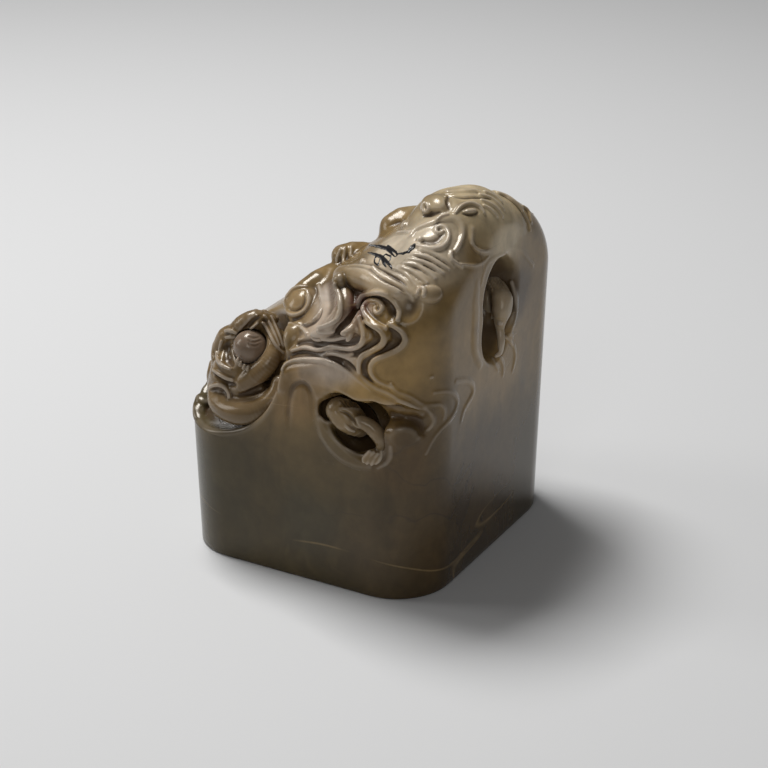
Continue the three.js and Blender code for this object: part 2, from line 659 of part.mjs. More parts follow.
function tendrilForms(grow) {
  const radii = grown(tapered(TENDRIL_RADIUS, LAST_END), grow);
  return TENDRIL_PATHS.map((path) => strand(
    path.map(([x, y]) => [x, y, topHeight(x, y)]), radii, THIN_SIDES, THIN_STEP));
}

function pearlSphere(grow) {
  return ball(PEARL_PLACE, PEARL_RADIUS + grow);
}

function dragonKnob() {
  const eyeTop = strand(EYE_TOP_PATH, tapered(EYE_TOP_RADIUS, SHORT_ENDS));
  const valleys = join(bothSides([roll(VALLEY_PATH, VALLEY_RADIUS, VALLEY_LIFT)]));
  const blank = join([stoneMass(), eyeTop]).subtract(valleys);
  const gouged = blank.add(join(bothSides(headForms()))).subtract(join(bothSides(headGrooves())));
  const raised = join([...bothSides(headLines()), ...headCrest()]);
  const hollows = join([...lowCave(), ...highCave(), ledgeHollow()]);
  const seats = join([
    ...crownBeastForms(SEAT_GAP),
    ...ledgeBeastForms(SEAT_GAP),
    ...lowCaveDragonForms(SEAT_GAP),
    ...highCaveDragonForms(SEAT_GAP),
    ...tendrilForms(SEAT_GAP),
    pearlSphere(PEARL_CLEARANCE),
  ]);
  return gouged.add(raised).subtract(hollows).subtract(seats);
}

function ledgeBeast() {
  return join(ledgeBeastForms(0)).subtract(solid(pearlSphere(PEARL_CLEARANCE)));
}

function colour(red, green, blue, roughness) {
  return new THREE.MeshStandardMaterial({ color: new THREE.Color(red, green, blue), roughness, metalness: 0 });
}

function named(name, shape, material) {
  const mesh = shape.getMesh();
  const geometry = new THREE.BufferGeometry();
  geometry.setAttribute("position", new THREE.Float32BufferAttribute(mesh.vertProperties, mesh.numProp));
  geometry.setIndex(new THREE.Uint32BufferAttribute(mesh.triVerts, 1));
  geometry.computeVertexNormals();
  const piece = new THREE.Mesh(geometry, material);
  piece.name = name;
  return piece;
}

const seal = new THREE.Group();
seal.add(named("seal_body", sealBody(), colour(0.13, 0.115, 0.085, 0.25)));
seal.add(named("dragon_knob", dragonKnob(), colour(0.3, 0.24, 0.16, 0.22)));
seal.add(named("crown_beast", join(crownBeastForms(0)), colour(0.36, 0.29, 0.19, 0.22)));
seal.add(named("ledge_beast", ledgeBeast(), colour(0.26, 0.19, 0.11, 0.22)));
seal.add(named("mouth_pearl", solid(pearlSphere(0)), colour(0.34, 0.27, 0.2, 0.2)));
seal.add(named("low_cave_dragon", join(lowCaveDragonForms(0)), colour(0.28, 0.22, 0.15, 0.25)));
seal.add(named("high_cave_dragon", join(highCaveDragonForms(0)), colour(0.3, 0.25, 0.18, 0.25)));
seal.add(named("dark_tendrils", join(tendrilForms(0)), colour(0.03, 0.03, 0.03, 0.3)));

export default seal;
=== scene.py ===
import math

import bmesh
import bpy
import numpy as np
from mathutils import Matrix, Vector


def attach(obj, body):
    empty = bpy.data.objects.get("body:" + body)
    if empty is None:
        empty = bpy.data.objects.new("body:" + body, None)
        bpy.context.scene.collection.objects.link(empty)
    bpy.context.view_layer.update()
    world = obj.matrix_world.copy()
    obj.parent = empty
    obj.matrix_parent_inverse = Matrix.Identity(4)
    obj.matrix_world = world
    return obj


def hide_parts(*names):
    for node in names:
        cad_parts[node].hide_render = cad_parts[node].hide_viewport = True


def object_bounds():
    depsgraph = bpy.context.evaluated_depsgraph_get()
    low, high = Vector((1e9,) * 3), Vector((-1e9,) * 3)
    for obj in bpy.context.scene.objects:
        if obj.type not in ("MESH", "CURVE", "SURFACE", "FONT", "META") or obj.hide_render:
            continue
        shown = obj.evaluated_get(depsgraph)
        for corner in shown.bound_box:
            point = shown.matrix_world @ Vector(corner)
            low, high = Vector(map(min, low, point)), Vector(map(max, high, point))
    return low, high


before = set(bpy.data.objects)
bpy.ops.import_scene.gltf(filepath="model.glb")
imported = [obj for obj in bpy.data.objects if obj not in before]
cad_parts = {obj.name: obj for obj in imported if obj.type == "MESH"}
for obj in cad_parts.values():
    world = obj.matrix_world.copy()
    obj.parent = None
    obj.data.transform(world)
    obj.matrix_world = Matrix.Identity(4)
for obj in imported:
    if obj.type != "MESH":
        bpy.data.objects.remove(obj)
cad_low, cad_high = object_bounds()
MM = 0.001


# Camera
# It looks down the seal's near corner, as the photograph does. Its place and lens are also
# what puts a carved line, read off the photograph, on to the stone.

IMAGE_SIZE = 768
SENSOR_WIDTH = 36
VIEW_AZIMUTH = math.radians(29.35)
VIEW_PITCH = math.radians(23.5)
VIEW_DISTANCE = 432.9
VIEW_TARGET = np.array([5.3, -3.4, 35])
FOCAL_PIXELS = 2000
PIXELS_PER_MM = FOCAL_PIXELS / VIEW_DISTANCE

view_back = np.array([
    math.sin(VIEW_AZIMUTH) * math.cos(VIEW_PITCH),
    -math.cos(VIEW_AZIMUTH) * math.cos(VIEW_PITCH),
    math.sin(VIEW_PITCH),
])
view_place = VIEW_TARGET + view_back * VIEW_DISTANCE
view_right = np.array([math.cos(VIEW_AZIMUTH), math.sin(VIEW_AZIMUTH), 0])
view_up = np.cross(view_back, view_right)

camera = bpy.data.objects.new("camera", bpy.data.cameras.new("camera"))
bpy.context.scene.collection.objects.link(camera)
camera.location = Vector(view_place * MM)
camera.rotation_euler = Vector(-view_back).to_track_quat("-Z", "Y").to_euler()
camera.data.sensor_width = SENSOR_WIDTH
camera.data.lens = FOCAL_PIXELS / IMAGE_SIZE * SENSOR_WIDTH
camera.data.clip_start = 0.01
camera.data.clip_end = 10
bpy.context.scene.camera = camera


def sight_lines(pixels):
    """The directions in which the camera sees points of the photograph."""
    pixels = np.atleast_2d(np.asarray(pixels, float))
    across = (pixels[:, :1] - IMAGE_SIZE / 2) / FOCAL_PIXELS
    down = (pixels[:, 1:] - IMAGE_SIZE / 2) / FOCAL_PIXELS
    lines = -view_back + across * view_right - down * view_up
    return lines / np.linalg.norm(lines, axis=1, keepdims=True)


# Stone block
# The blank is one squared block of soapstone with rounded upright corners, a little wider at the
# top, sawn to a slope and rounded over by hand. Sizes are in millimetres.

HALF_LENGTH = 30
HALF_WIDTH = 32
CORNER_RADIUS = 12.5
FLARE_SLOPE = 0.00067
COLUMN_HEIGHT = 29
TOP_EDGE = 5
LEAST_EDGE = 0.05
RIDGE_PLACES = (-31, -22, -9.5, 2.5, 12, 21, 27.5, 31.5)
RIDGE_HEIGHTS = (42, 48.8, 58.2, 67.2, 74.4, 78.9, 77.6, 73)
RIDGE_REACH = 45
RIDGE_POINTS_PER_MM = 10
RIDGE_SOFTNESS = 2
SOFTENING_REACH = 9
CHEEK_FALL = 17.5
LOW_CORNER_FALL = 10
CHEEK_POWER = 2.4

ridge_x = np.linspace(-RIDGE_REACH, RIDGE_REACH, 2 * RIDGE_REACH * RIDGE_POINTS_PER_MM + 1)
end_points = SOFTENING_REACH * RIDGE_POINTS_PER_MM
ridge_kernel = np.linspace(-SOFTENING_REACH, SOFTENING_REACH, 2 * end_points + 1)
ridge_kernel = np.exp(-0.5 * (ridge_kernel / RIDGE_SOFTNESS) ** 2)
ridge_z = np.pad(np.interp(ridge_x, RIDGE_PLACES, RIDGE_HEIGHTS), end_points, mode="edge")
ridge_z = np.convolve(ridge_z, ridge_kernel / ridge_kernel.sum(), mode="valid")


def smaller(a, b, soft):
    """The lesser of two distances, with a fillet of the given size where they meet."""
    if np.isscalar(soft) and soft <= 0:
        return np.minimum(a, b)
    near = np.maximum(soft - np.abs(a - b), 0)
    return np.minimum(a, b) - near * near / (4 * soft)


def larger(a, b, soft):
    return -smaller(-a, -b, soft)


def slope_height(x, y):
    """Height of the sloping top, before its edges are rounded."""
    deepest = CHEEK_FALL + (LOW_CORNER_FALL - CHEEK_FALL) * np.clip(-x / HALF_LENGTH, 0, 1)
    return np.interp(x, ridge_x, ridge_z) - deepest * (np.abs(y) / (HALF_WIDTH + 1)) ** CHEEK_POWER


def wall_distance(x, y, z):
    """Distance outside the upright walls, negative inside."""
    flare = 1 + FLARE_SLOPE * z
    qx = np.abs(x) / flare - (HALF_LENGTH - CORNER_RADIUS)
    qy = np.abs(y) / flare - (HALF_WIDTH - CORNER_RADIUS)
    outside = np.hypot(np.maximum(qx, 0), np.maximum(qy, 0))
    return (outside + np.minimum(np.maximum(qx, qy), 0) - CORNER_RADIUS) * flare


def block_distance(x, y, z):
    """Distance outside the rounded block, negative inside."""
    step = 0.5
    rise_x = (slope_height(x + step, y) - slope_height(x - step, y)) / (2 * step)
    rise_y = (slope_height(x, y + step) - slope_height(x, y - step)) / (2 * step)
    top = (z - slope_height(x, y)) / np.sqrt(1 + rise_x ** 2 + rise_y ** 2)
    edge = np.clip(z - COLUMN_HEIGHT, LEAST_EDGE, TOP_EDGE)
    return larger(top, wall_distance(x, y, z), edge)


CURVE_STEPS = 12


def smooth_path(points, spacing):
    """Evenly spaced points on a Catmull-Rom curve through the given ones."""
    points = np.asarray(points, float)
    ends = np.vstack([2 * points[0] - points[1], points, 2 * points[-1] - points[-2]])
    t = np.linspace(0, 1, CURVE_STEPS, endpoint=False)[:, None]
    runs = []
    for a, b, c, d in zip(ends[:-3], ends[1:-2], ends[2:-1], ends[3:]):
        runs.append(0.5 * (2 * b + (c - a) * t + (2 * a - 5 * b + 4 * c - d) * t ** 2
                           + (3 * b - a - 3 * c + d) * t ** 3))
    dense = np.vstack([*runs, points[-1:]])
    length = np.concatenate([[0], np.cumsum(np.linalg.norm(np.diff(dense, axis=0), axis=1))])
    count = max(3, int(round(length[-1] / spacing)) + 1)
    place = np.linspace(0, length[-1], count)
    return np.stack([np.interp(place, length, dense[:, i]) for i in range(dense.shape[1])], 1)


def along(values, count):
    """Values spread evenly along a path, at each of its points."""
    values = np.atleast_1d(np.asarray(values, float))
    return np.interp(np.linspace(0, 1, count), np.linspace(0, 1, len(values)), values)


FAR = 9
TINY = 1e-6
LEAST_STEEP = 0.05
NORMAL_REACH = 1.5


class Clay:
    """A block of grid points that each hold their distance to the carved surface, negative inside.

    margin is how far off a form's own surface its distances are still worked out.
    """

    def __init__(self, low, high, step, margin=0.0):
        self.step = step
        self.margin = margin + 2 * step
        self.low = np.asarray(low, float)
        self.count = np.ceil((np.asarray(high) - self.low) / step).astype(int) + 1
        self.field = np.full(self.count, FAR, np.float32)

    def window(self, low, high):
        """The part of the grid between two corners, and its places along each axis."""
        first = np.floor((np.asarray(low) - self.low) / self.step).astype(int)
        first = np.clip(first, 0, self.count - 1)
        last = np.ceil((np.asarray(high) - self.low) / self.step).astype(int) + 1
        last = np.clip(last, first + 1, self.count)
        part = tuple(slice(a, b) for a, b in zip(first, last))
        axes = [(start + self.step * np.arange(a, b)).astype(np.float32)
                for start, a, b in zip(self.low, first, last)]
        return part, np.meshgrid(*axes, indexing="ij", sparse=True)

    def merge(self, part, distance, soft, cut):
        if cut:
            self.field[part] = larger(self.field[part], -distance, soft)
        else:
            self.field[part] = smaller(self.field[part], distance, soft)

    def strand(self, points, radii, soft=0.5, cut=False):
        """Adds, or cuts, a round strand of changing radius along points."""
        points = np.asarray(points, float)
        radii = along(radii, len(points))
        margin = radii.max() + soft + self.margin
        part, (x, y, z) = self.window(points.min(0) - margin, points.max(0) + margin)
        distance = np.full(self.field[part].shape, FAR, np.float32)
        for a, b, ra, rb in zip(points[:-1], points[1:], radii[:-1], radii[1:]):
            reach = max(ra, rb) + soft + self.margin
            sub = []
            for axis, start, end in zip((x, y, z), a, b):
                first = np.searchsorted(axis.ravel(), min(start, end) - reach)
                last = np.searchsorted(axis.ravel(), max(start, end) + reach)
                sub.append(slice(first, last))
            sub = tuple(sub)
            px = x[sub[0]] - a[0]
            py = y[:, sub[1]] - a[1]
            pz = z[:, :, sub[2]] - a[2]
            run = b - a
            t = np.clip((px * run[0] + py * run[1] + pz * run[2]) / max(run @ run, TINY ** 2), 0, 1)
            gap = np.sqrt((px - t * run[0]) ** 2 + (py - t * run[1]) ** 2 + (pz - t * run[2]) ** 2)
            distance[sub] = np.minimum(distance[sub], gap - (ra + t * (rb - ra)))
        self.merge(part, distance, soft, cut)

    def ball(self, centre, radii, soft=0.5, cut=False, turn=None):
        """Adds, or cuts, an ellipsoid. turn is a 3 by 3 matrix whose rows are its own axes."""
        centre = np.asarray(centre, float)
        radii = np.broadcast_to(np.asarray(radii, float), 3)
        reach = radii.max() + soft + self.margin
        part, (x, y, z) = self.window(centre - reach, centre + reach)
        px, py, pz = x - centre[0], y - centre[1], z - centre[2]
        axes = np.eye(3) if turn is None else np.asarray(turn, float)
        u, v, w = (a[0] * px + a[1] * py + a[2] * pz for a in axes)
        near = np.sqrt((u / radii[0]) ** 2 + (v / radii[1]) ** 2 + (w / radii[2]) ** 2)
        steep = np.sqrt((u / radii[0] ** 2) ** 2 + (v / radii[1] ** 2) ** 2
                        + (w / radii[2] ** 2) ** 2)
        distance = near * (near - 1) / np.maximum(steep, TINY)
        self.merge(part, distance.astype(np.float32), soft, cut)

    def hit(self, pixels, lift=0.0):
        """Where the camera sees points of the photograph on the clay, raised along its normal."""
        lines = sight_lines(pixels)
        box = self.low + self.step * (np.indices((2, 2, 2)).reshape(3, 8).T * (self.count - 1))
        far = np.linalg.norm(box - view_place, axis=1)
        reach = np.arange(far.min(), far.max(), self.step)
        points = view_place + lines[:, None, :] * reach[None, :, None]
        place = np.round((points - self.low) / self.step).astype(int)
        within = ((place >= 0) & (place < self.count)).all(axis=2)
        distance = np.full(within.shape, float(FAR))
        distance[within] = self.field[tuple(place[within].T)]
        meets = (distance < 0).any(axis=1)
        first = np.where(meets, np.argmax(distance < 0, axis=1), np.argmin(distance, axis=1))
        found = self.settle(points[np.arange(len(lines)), first])
        return found + self.normal(found) * np.reshape(lift, (-1, 1))

    def sample(self, points):
        """The field at any points, by linear interpolation."""
        place = (points - self.low) / self.step
        first = np.clip(np.floor(place).astype(int), 0, self.count - 2)
        u, v, w = (place - first).T
        i, j, k = first.T
        value = 0
        for di, dj, dk in np.ndindex(2, 2, 2):
            share = (u if di else 1 - u) * (v if dj else 1 - v) * (w if dk else 1 - w)
            value = value + share * self.field[i + di, j + dj, k + dk]
        return value

    def slope(self, points, reach):
        """How much the field rises along each axis from a reach before points to a reach past them."""
        rises = [self.sample(points + shift) - self.sample(points - shift) for shift in reach * np.eye(3)]
        return np.stack(rises, 1)

    def normal(self, points):
        """Outward direction of the surface near points."""
        slope = self.slope(points, NORMAL_REACH * self.step)
        return slope / np.maximum(np.linalg.norm(slope, axis=1, keepdims=True), TINY)

    def settle(self, points):
        """Draws points on to the surface along the field's slope."""
        slope = self.slope(points, self.step / 2) / self.step
        steep = np.maximum((slope ** 2).sum(1), LEAST_STEEP)
        move = slope * (self.sample(points) / steep)[:, None]
        length = np.linalg.norm(move, axis=1, keepdims=True)
        return points - move * np.minimum(1, self.step / np.maximum(length, TINY))

    def bed(self, other, soft, reach, sink=0.05):
        """Runs the clay out with a fillet on to another's surface, which it meets a hair below."""
        own = self.field
        axes = [self.low[i] + self.step * np.arange(self.count[i]) for i in range(3)]
        points = np.stack(np.meshgrid(*axes, indexing="ij"), -1).reshape(-1, 3)
        lower = other.sample(points).reshape(self.count) + sink
        self.field = larger(smaller(own, lower, soft), own - reach, 0).astype(np.float32)

    def skin(self, rounds=2):
        """Vertices and four-sided faces of the surface, evened out and drawn back on to it."""
        inside = self.field < 0
        corners = np.array(list(np.ndindex(2, 2, 2)))
        votes = np.zeros(self.count - 1, np.int8)
        for corner in corners:
            votes += inside[tuple(slice(c, n - 1 + c) for c, n in zip(corner, self.count))]
        mixed = (votes > 0) & (votes < len(corners))
        cells = np.argwhere(mixed)
        index = np.full(mixed.shape, -1, np.int32)
        index[mixed] = np.arange(len(cells), dtype=np.int32)
        values = np.stack([self.field[tuple((cells + corner).T)] for corner in corners], 1)
        total = np.zeros((len(cells), 3))
        number = np.zeros((len(cells), 1))
        for a, b in [(a, b) for a in range(8) for b in range(a, 8) if a ^ b in (1, 2, 4)]:
            va, vb = values[:, a:a + 1], values[:, b:b + 1]
            crossing = (va < 0) != (vb < 0)
            t = np.where(crossing, va / np.where(crossing, va - vb, 1), 0)
            total += crossing * (corners[a] + t * (corners[b] - corners[a]))
            number += crossing
        vertices = self.low + self.step * (cells + total / number)
        faces = []
        for axis in range(3):
            low_side = [slice(1, -1)] * 3
            high_side = [slice(1, -1)] * 3
            low_side[axis] = slice(0, -1)
            high_side[axis] = slice(1, None)
            start, end = inside[tuple(low_side)], inside[tuple(high_side)]
            edges = np.argwhere(start != end)
            ring = []
            for du, dv in ((0, 0), (1, 0), (1, 1), (0, 1)):
                cell = edges.copy()
                cell[:, (axis + 1) % 3] += du
                cell[:, (axis + 2) % 3] += dv
                ring.append(index[tuple(cell.T)])
            quad = np.stack(ring, 1)
            inward = ~start[start != end]
            quad[inward] = quad[inward][:, ::-1]
            faces.append(quad)
        faces = np.concatenate(faces)
        start, end = np.concatenate([faces[:, [i, (i + 1) % 4]] for i in range(4)]).T
        number = np.maximum(np.bincount(start, minlength=len(vertices)), 1)
        for _ in range(rounds):
            sums = [np.bincount(start, vertices[end, i], len(vertices)) for i in range(3)]
            mean = np.stack(sums, 1) / number[:, None]
            vertices = self.settle(0.5 * vertices + 0.5 * mean)
        return vertices, faces


def mesh_object(name, vertices, faces, smooth=True):
    """A new object in the scene, made of vertices in metres and faces."""
    mesh = bpy.data.meshes.new(name)
    mesh.from_pydata(vertices, [], faces, shade_flat=not smooth)
    piece = bpy.data.objects.new(name, mesh)
    bpy.context.scene.collection.objects.link(piece)
    return piece


LINE_REACH = 0.7
LINE_FULL = 0.2
FORM_REACH = 2.2
FORM_FULL = 0.7
DRESSED_DEPTH = 1.5


def clay_mesh(clay, name, most_triangles=None, depth_shade=0.0):
    """A mesh object of the clay's surface, thinned where it is flat if it has too many triangles.

    Its attributes "relief" and "swell" hold how far each point stands out of the surface just
    round it and of the form round that, from -1 in the foot of a gouge to 1 on a sharp ridge.
    depth_shade is how much each millimetre under the block's dressed surface lowers "swell", as
    painted shade in the caves together with the dirt they hold.
    """
    vertices, faces = clay.skin()
    piece = mesh_object(name, vertices * MM, faces)
    piece.data.validate()
    if most_triangles and 2 * len(faces) > most_triangles:
        piece.modifiers.new("thin", "DECIMATE").ratio = most_triangles / (2 * len(faces))
        graph = bpy.context.evaluated_depsgraph_get()
        dense = piece.data
        piece.data = bpy.data.meshes.new_from_object(piece.evaluated_get(graph))
        piece.modifiers.clear()
        bpy.data.meshes.remove(dense)
    places = np.empty(3 * len(piece.data.vertices), np.float32)
    piece.data.vertices.foreach_get("co", places)
    places = places.reshape(-1, 3) / MM
    for attribute, reach, full in (("relief", LINE_REACH, LINE_FULL), ("swell", FORM_REACH, FORM_FULL)):
        shifts = [way * reach * axis for axis in np.eye(3) for way in (1, -1)]
        around = sum(np.minimum(clay.sample(places + shift), reach) for shift in shifts)
        out = (around / 6 - clay.sample(places)) / full
        if attribute == "swell":
            out = out - depth_shade * np.maximum(-block_distance(*places.T) - DRESSED_DEPTH, 0)
        values = np.clip(out, -1, 1).astype(np.float32)
        piece.data.attributes.new(attribute, "FLOAT", "POINT").data.foreach_set("value", values)
    return piece


GRID_SPACING = 1.5
TUBE_SPACING = 0.4
LINE_SPACING = 0.6
LINE_EVENING = 8
WIDEST_GAP = 4


def tube_line(clay, anchor, pixels, radii, nearer=0.0, soft=0.6, cut=False):
    """A rounded limb, or a channel, through points read off the photograph.

    They lie on a plane that faces the camera, nearer to it than the anchor by some millimetres.
    """
    lines = sight_lines(pixels)
    depth = (view_place - np.asarray(anchor)) @ view_back - np.broadcast_to(nearer, len(lines))
    knots = view_place + lines * (depth / -(lines @ view_back))[:, None]
    spacing = max(GRID_SPACING * clay.step, TUBE_SPACING * np.min(radii))
    clay.strand(smooth_path(knots, spacing), radii, soft, cut)


def tube(clay, anchor, strokes, cut=False):
    """Several limbs or channels, each given by its points, radii, nearness and softness."""
    for stroke in strokes:
        tube_line(clay, anchor, *stroke, cut=cut)


def carve_line(clay, pixels, radii, lift=0.1, soft=0.3, cut=False, mirror=False):
    """A line left proud of the clay, or cut in it, through points read off the photograph.

    Where the sight of it jumps over an edge of the clay, only its longest run is carved.
    """
    spacing = max(GRID_SPACING * clay.step, LINE_SPACING * np.min(radii))
    path = smooth_path(pixels, spacing * PIXELS_PER_MM)
    points = clay.hit(path, along(lift, len(path)))
    jumps = np.linalg.norm(np.diff(points, axis=0), axis=1) > WIDEST_GAP * spacing
    breaks = [0, *(np.flatnonzero(jumps) + 1), len(points)]
    longest = np.argmax(np.diff(breaks))
    kept = slice(breaks[longest], breaks[longest + 1])
    points, radii = points[kept], along(radii, len(points))[kept]
    for _ in range(LINE_EVENING):
        points[1:-1] = (points[:-2] + 2 * points[1:-1] + points[2:]) / 4
    clay.strand(points, radii, soft, cut)
    if mirror:
        clay.strand(points * (1, -1, 1), radii, soft, cut)


def carve(clay, strokes, cut=False, mirror=False):
    """Several such lines, each given by its points, radii, lift and softness."""
    for stroke in strokes:
        carve_line(clay, *stroke, cut=cut, mirror=mirror)


def carve_all(clay, lines, *width, cut=False, mirror=False):
    """Several such lines of one width, lift and softness."""
    for line in lines:
        carve_line(clay, line, *width, cut=cut, mirror=mirror)


def dab(clay, forms, cut=False, mirror=False):
    """Rounded forms on the clay, or hollows, squashed along the surface's normal.

    Each is given by its point of the photograph, radii, lift and softness.
    """
    for pixel, radii, lift, soft in forms:
        foot = clay.hit([pixel])
        normal = clay.normal(foot)[0]
        side = np.cross((0, 0, 1), normal)
        side /= np.linalg.norm(side)
        turn = np.array([side, np.cross(normal, side), normal])
        centre = foot[0] + normal * lift
        clay.ball(centre, radii, soft, cut, turn)
        if mirror:
            clay.ball(centre * (1, -1, 1), radii, soft, cut, turn * (1, -1, 1))


# Colour of the stone
# Soapstone is clouded all through, so one pattern fixed to the block runs on from piece to piece:
# olive-brown below, grey-green at the low end, amber on the flank and rosy grey round the mouth.
# Part of it is painted light: the lower column is darkened as painted shade, one cloud is a painted
# shadow under the flank's folds, one is painted shade in the high cave, and the crown's pale
# clouds are partly a painted light on it.

# The olive is the stone's own low colour, darkened as painted shade where less light reaches the lower
# column.
SHADED_OLIVE = (0.058, 0.042, 0.017, 1)
HONEY_BROWN = (0.200, 0.130, 0.052, 1)
COLOUR_AND_LIGHT_CLOUDS = (
    # centre, reach, colour and strength of each cloud, from the lowest to the highest
    # The three lowest clouds are the stone's grey-green and brown, darkened the same way as painted shade
    # low on the column.
    ((-31, -14, 16), 26, (0.040, 0.041, 0.026, 1), 0.75),
    ((31, -12, 12), 34, (0.080, 0.049, 0.021, 1), 0.75),
    ((4, -34, 14), 11, (0.032, 0.031, 0.021, 1), 0.45),
    ((31, -4, 50), 20, (0.300, 0.200, 0.090, 1), 0.75),
    # Painted shadow: dark brown under the cloud folds on the flank.
    ((24, -32, 35), 13, (0.095, 0.056, 0.022, 1), 0.85),
    # Painted shade inside the high cave.
    ((28, 6, 57), 9, (0.060, 0.038, 0.020, 1), 0.9),
    ((17, -31, 51), 15, (0.380, 0.235, 0.075, 1), 0.9),
    ((0, -31, 45), 10, (0.230, 0.140, 0.055, 1), 0.8),
    ((8, -31, 55), 11, (0.480, 0.390, 0.310, 1), 0.85),
    ((-4, -22, 55), 8, (0.380, 0.260, 0.130, 1), 0.8),
    ((4, -20, 61), 8, (0.470, 0.400, 0.340, 1), 0.85),
    ((15, -23, 66), 8, (0.400, 0.262, 0.120, 1), 0.8),
    # The crevice by the fang: the stone's dark red, deepened as painted shade of the deep groove.
    ((11.5, -28.5, 61), 5, (0.110, 0.026, 0.022, 1), 0.9),
    # The crown's two pale clouds are its amber-cream, brightened as painted light where the lamp falls on
    # the crown.
    ((17, -18, 72), 13, (0.570, 0.485, 0.370, 1), 0.85),
    ((23, 2, 76), 17, (0.590, 0.475, 0.300, 1), 0.85),
)
CLOUD_CORE = 0.35
CLOUD_RIM = 1.15
CLOUD_DRIFT = 9
OLIVE_HEIGHTS = (0.022, 0.048)
OCHRE = (0.330, 0.225, 0.100, 1)
CRACK_BROWN = (0.040, 0.027, 0.018, 1)
# Browns for the gouges and hollows: their dark patina, deepened as painted shade.
GOUGE_SHADE_BROWN = (0.042, 0.022, 0.010, 1)
HOLLOW_SHADE_BROWN = (0.070, 0.041, 0.020, 1)
WORN_CREAM = (0.54, 0.47, 0.39, 1)

pattern = bpy.data.node_groups.new("soapstone_pattern", "ShaderNodeTree")


def put(kind, values, output=0, **options):
    """Adds a node to the pattern, sets or links its inputs by number and gives one of its outputs."""
    node = pattern.nodes.new("ShaderNode" + kind)
    for option, value in options.items():
        setattr(node, option, value)
    for place, value in values.items():
        if isinstance(value, bpy.types.NodeSocket):
            pattern.links.new(value, node.inputs[place])
        else:
            node.inputs[place].default_value = value
    return node.outputs[output]


def calculate(operation, a, b=0.0):
    return put("Math", {0: a, 1: b}, operation=operation)


def blend(share, a, b):
    return put("Mix", {0: share, 6: a, 7: b}, 2, data_type="RGBA")


def ramp(value, start, end, low=0.0, high=1.0):
    """The value's smooth rise from low to high between start and end."""
    return put("MapRange", {0: value, 1: start, 2: end, 3: low, 4: high}, interpolation_type="SMOOTHSTEP")


def clouds(place, scale, detail=2.0, distortion=0.0, output=0):
    return put("TexNoise", {0: place, 2: scale, 3: detail, 8: distortion}, output)


def hair_lines(place, turn, stretch, scale, width, patches):
    """Thin winding lines, where a noise crosses its own middle, broken up into patches."""
    slant = put("Mapping", {0: place, 2: turn, 3: stretch})
    off = calculate("ABSOLUTE", calculate("SUBTRACT", clouds(slant, scale), 0.5))
    return calculate("MULTIPLY", ramp(off, 0, width, 1, 0), patches)


for name, kind, way in (
        ("Colour", "Color", "OUTPUT"), ("Roughness", "Float", "OUTPUT"), ("Height", "Float", "OUTPUT"),
        ("Cast", "Color", "INPUT"), ("Cast share", "Float", "INPUT"), ("Patina and shade", "Float", "INPUT")):
    pattern.interface.new_socket(name=name, in_out=way, socket_type="NodeSocket" + kind)
given = pattern.nodes.new("NodeGroupInput").outputs
place = put("TexCoord", {}, "Object")
wander = put("VectorMath", {0: clouds(place, 55, 3, output=1), 1: (0.5, 0.5, 0.5)}, operation="SUBTRACT")
drift = put("VectorMath", {0: wander, 1: (2 * CLOUD_DRIFT * MM,) * 3, 2: place}, operation="MULTIPLY_ADD")
height = put("SeparateXYZ", {0: drift}, 2)
colour = blend(ramp(height, *OLIVE_HEIGHTS), SHADED_OLIVE, HONEY_BROWN)
for centre, reach, cloud, strength in COLOUR_AND_LIGHT_CLOUDS:
    away = put("VectorMath", {0: drift, 1: [c * MM for c in centre]}, "Value", operation="DISTANCE")
    share = ramp(away, CLOUD_CORE * reach * MM, CLOUD_RIM * reach * MM, strength, 0)
    colour = blend(share, colour, cloud)
colour = blend(given["Cast share"], colour, given["Cast"])

drawn_out = put("VectorMath", {0: drift, 1: (1.6, 1.6, 0.5)}, operation="MULTIPLY")
streaks = clouds(drawn_out, 70, 4, 0.6)
mottle = clouds(place, 420, 4)
shade = calculate("MULTIPLY", ramp(streaks, 0.25, 0.75, 0.72, 1.26), ramp(mottle, 0.2, 0.8, 0.9, 1.1))
patches = ramp(clouds(place, 48), 0.48, 0.64, 0, 0.5)
veins = hair_lines(place, (0.1, -0.4, 0.2), (0.3, 0.3, 1.5), 30, 0.005, patches)
patches = ramp(clouds(place, 30), 0.52, 0.62, 0, 0.45)
cracks = hair_lines(drift, (0.1, 0.15, 0), (0.35, 0.35, 1.3), 14, 0.002, patches)
# Gouges ("relief") and the hollows of larger forms ("swell") are darkened both for the dark patina they hold
# and as painted shade; worn pales the ridges.
relief = put("Attribute", {}, "Fac", attribute_name="relief")
swell = put("Attribute", {}, "Fac", attribute_name="swell")
gouge_patina_and_shade = calculate("MULTIPLY", ramp(relief, -0.05, -0.7), given["Patina and shade"])
hollow_patina_and_shade = calculate("MULTIPLY", ramp(swell, -0.04, -0.6, 0, 0.95), given["Patina and shade"])
worn = calculate("MULTIPLY", ramp(relief, 0.05, 0.85, 0, 0.6), given["Patina and shade"])
colour = blend(veins, colour, OCHRE)
colour = put("VectorMath", {0: colour, 3: shade}, operation="SCALE")
for share, tone in ((cracks, CRACK_BROWN), (hollow_patina_and_shade, HOLLOW_SHADE_BROWN), (worn, WORN_CREAM), (gouge_patina_and_shade, GOUGE_SHADE_BROWN)):
    colour = blend(share, colour, tone)
gloss = calculate("ADD", ramp(streaks, 0.3, 0.7, 0.2, 0.27), calculate("MULTIPLY", gouge_patina_and_shade, 0.25))
dips = calculate("SUBTRACT", clouds(place, 900, 3), cracks)
made = pattern.nodes.new("NodeGroupOutput").inputs
for name, value in (("Colour", colour), ("Roughness", gloss), ("Height", dips)):
    pattern.links.new(value, made[name])

POLISH_DEPTH = 0.00002


def fresh_material(name, values):
    """A new material whose shader has the given values, by the names of its inputs."""
    material = bpy.data.materials.new(name)
    material.use_nodes = True
    for socket, value in values.items():
        material.node_tree.nodes["Principled BSDF"].inputs[socket].default_value = value
    return material


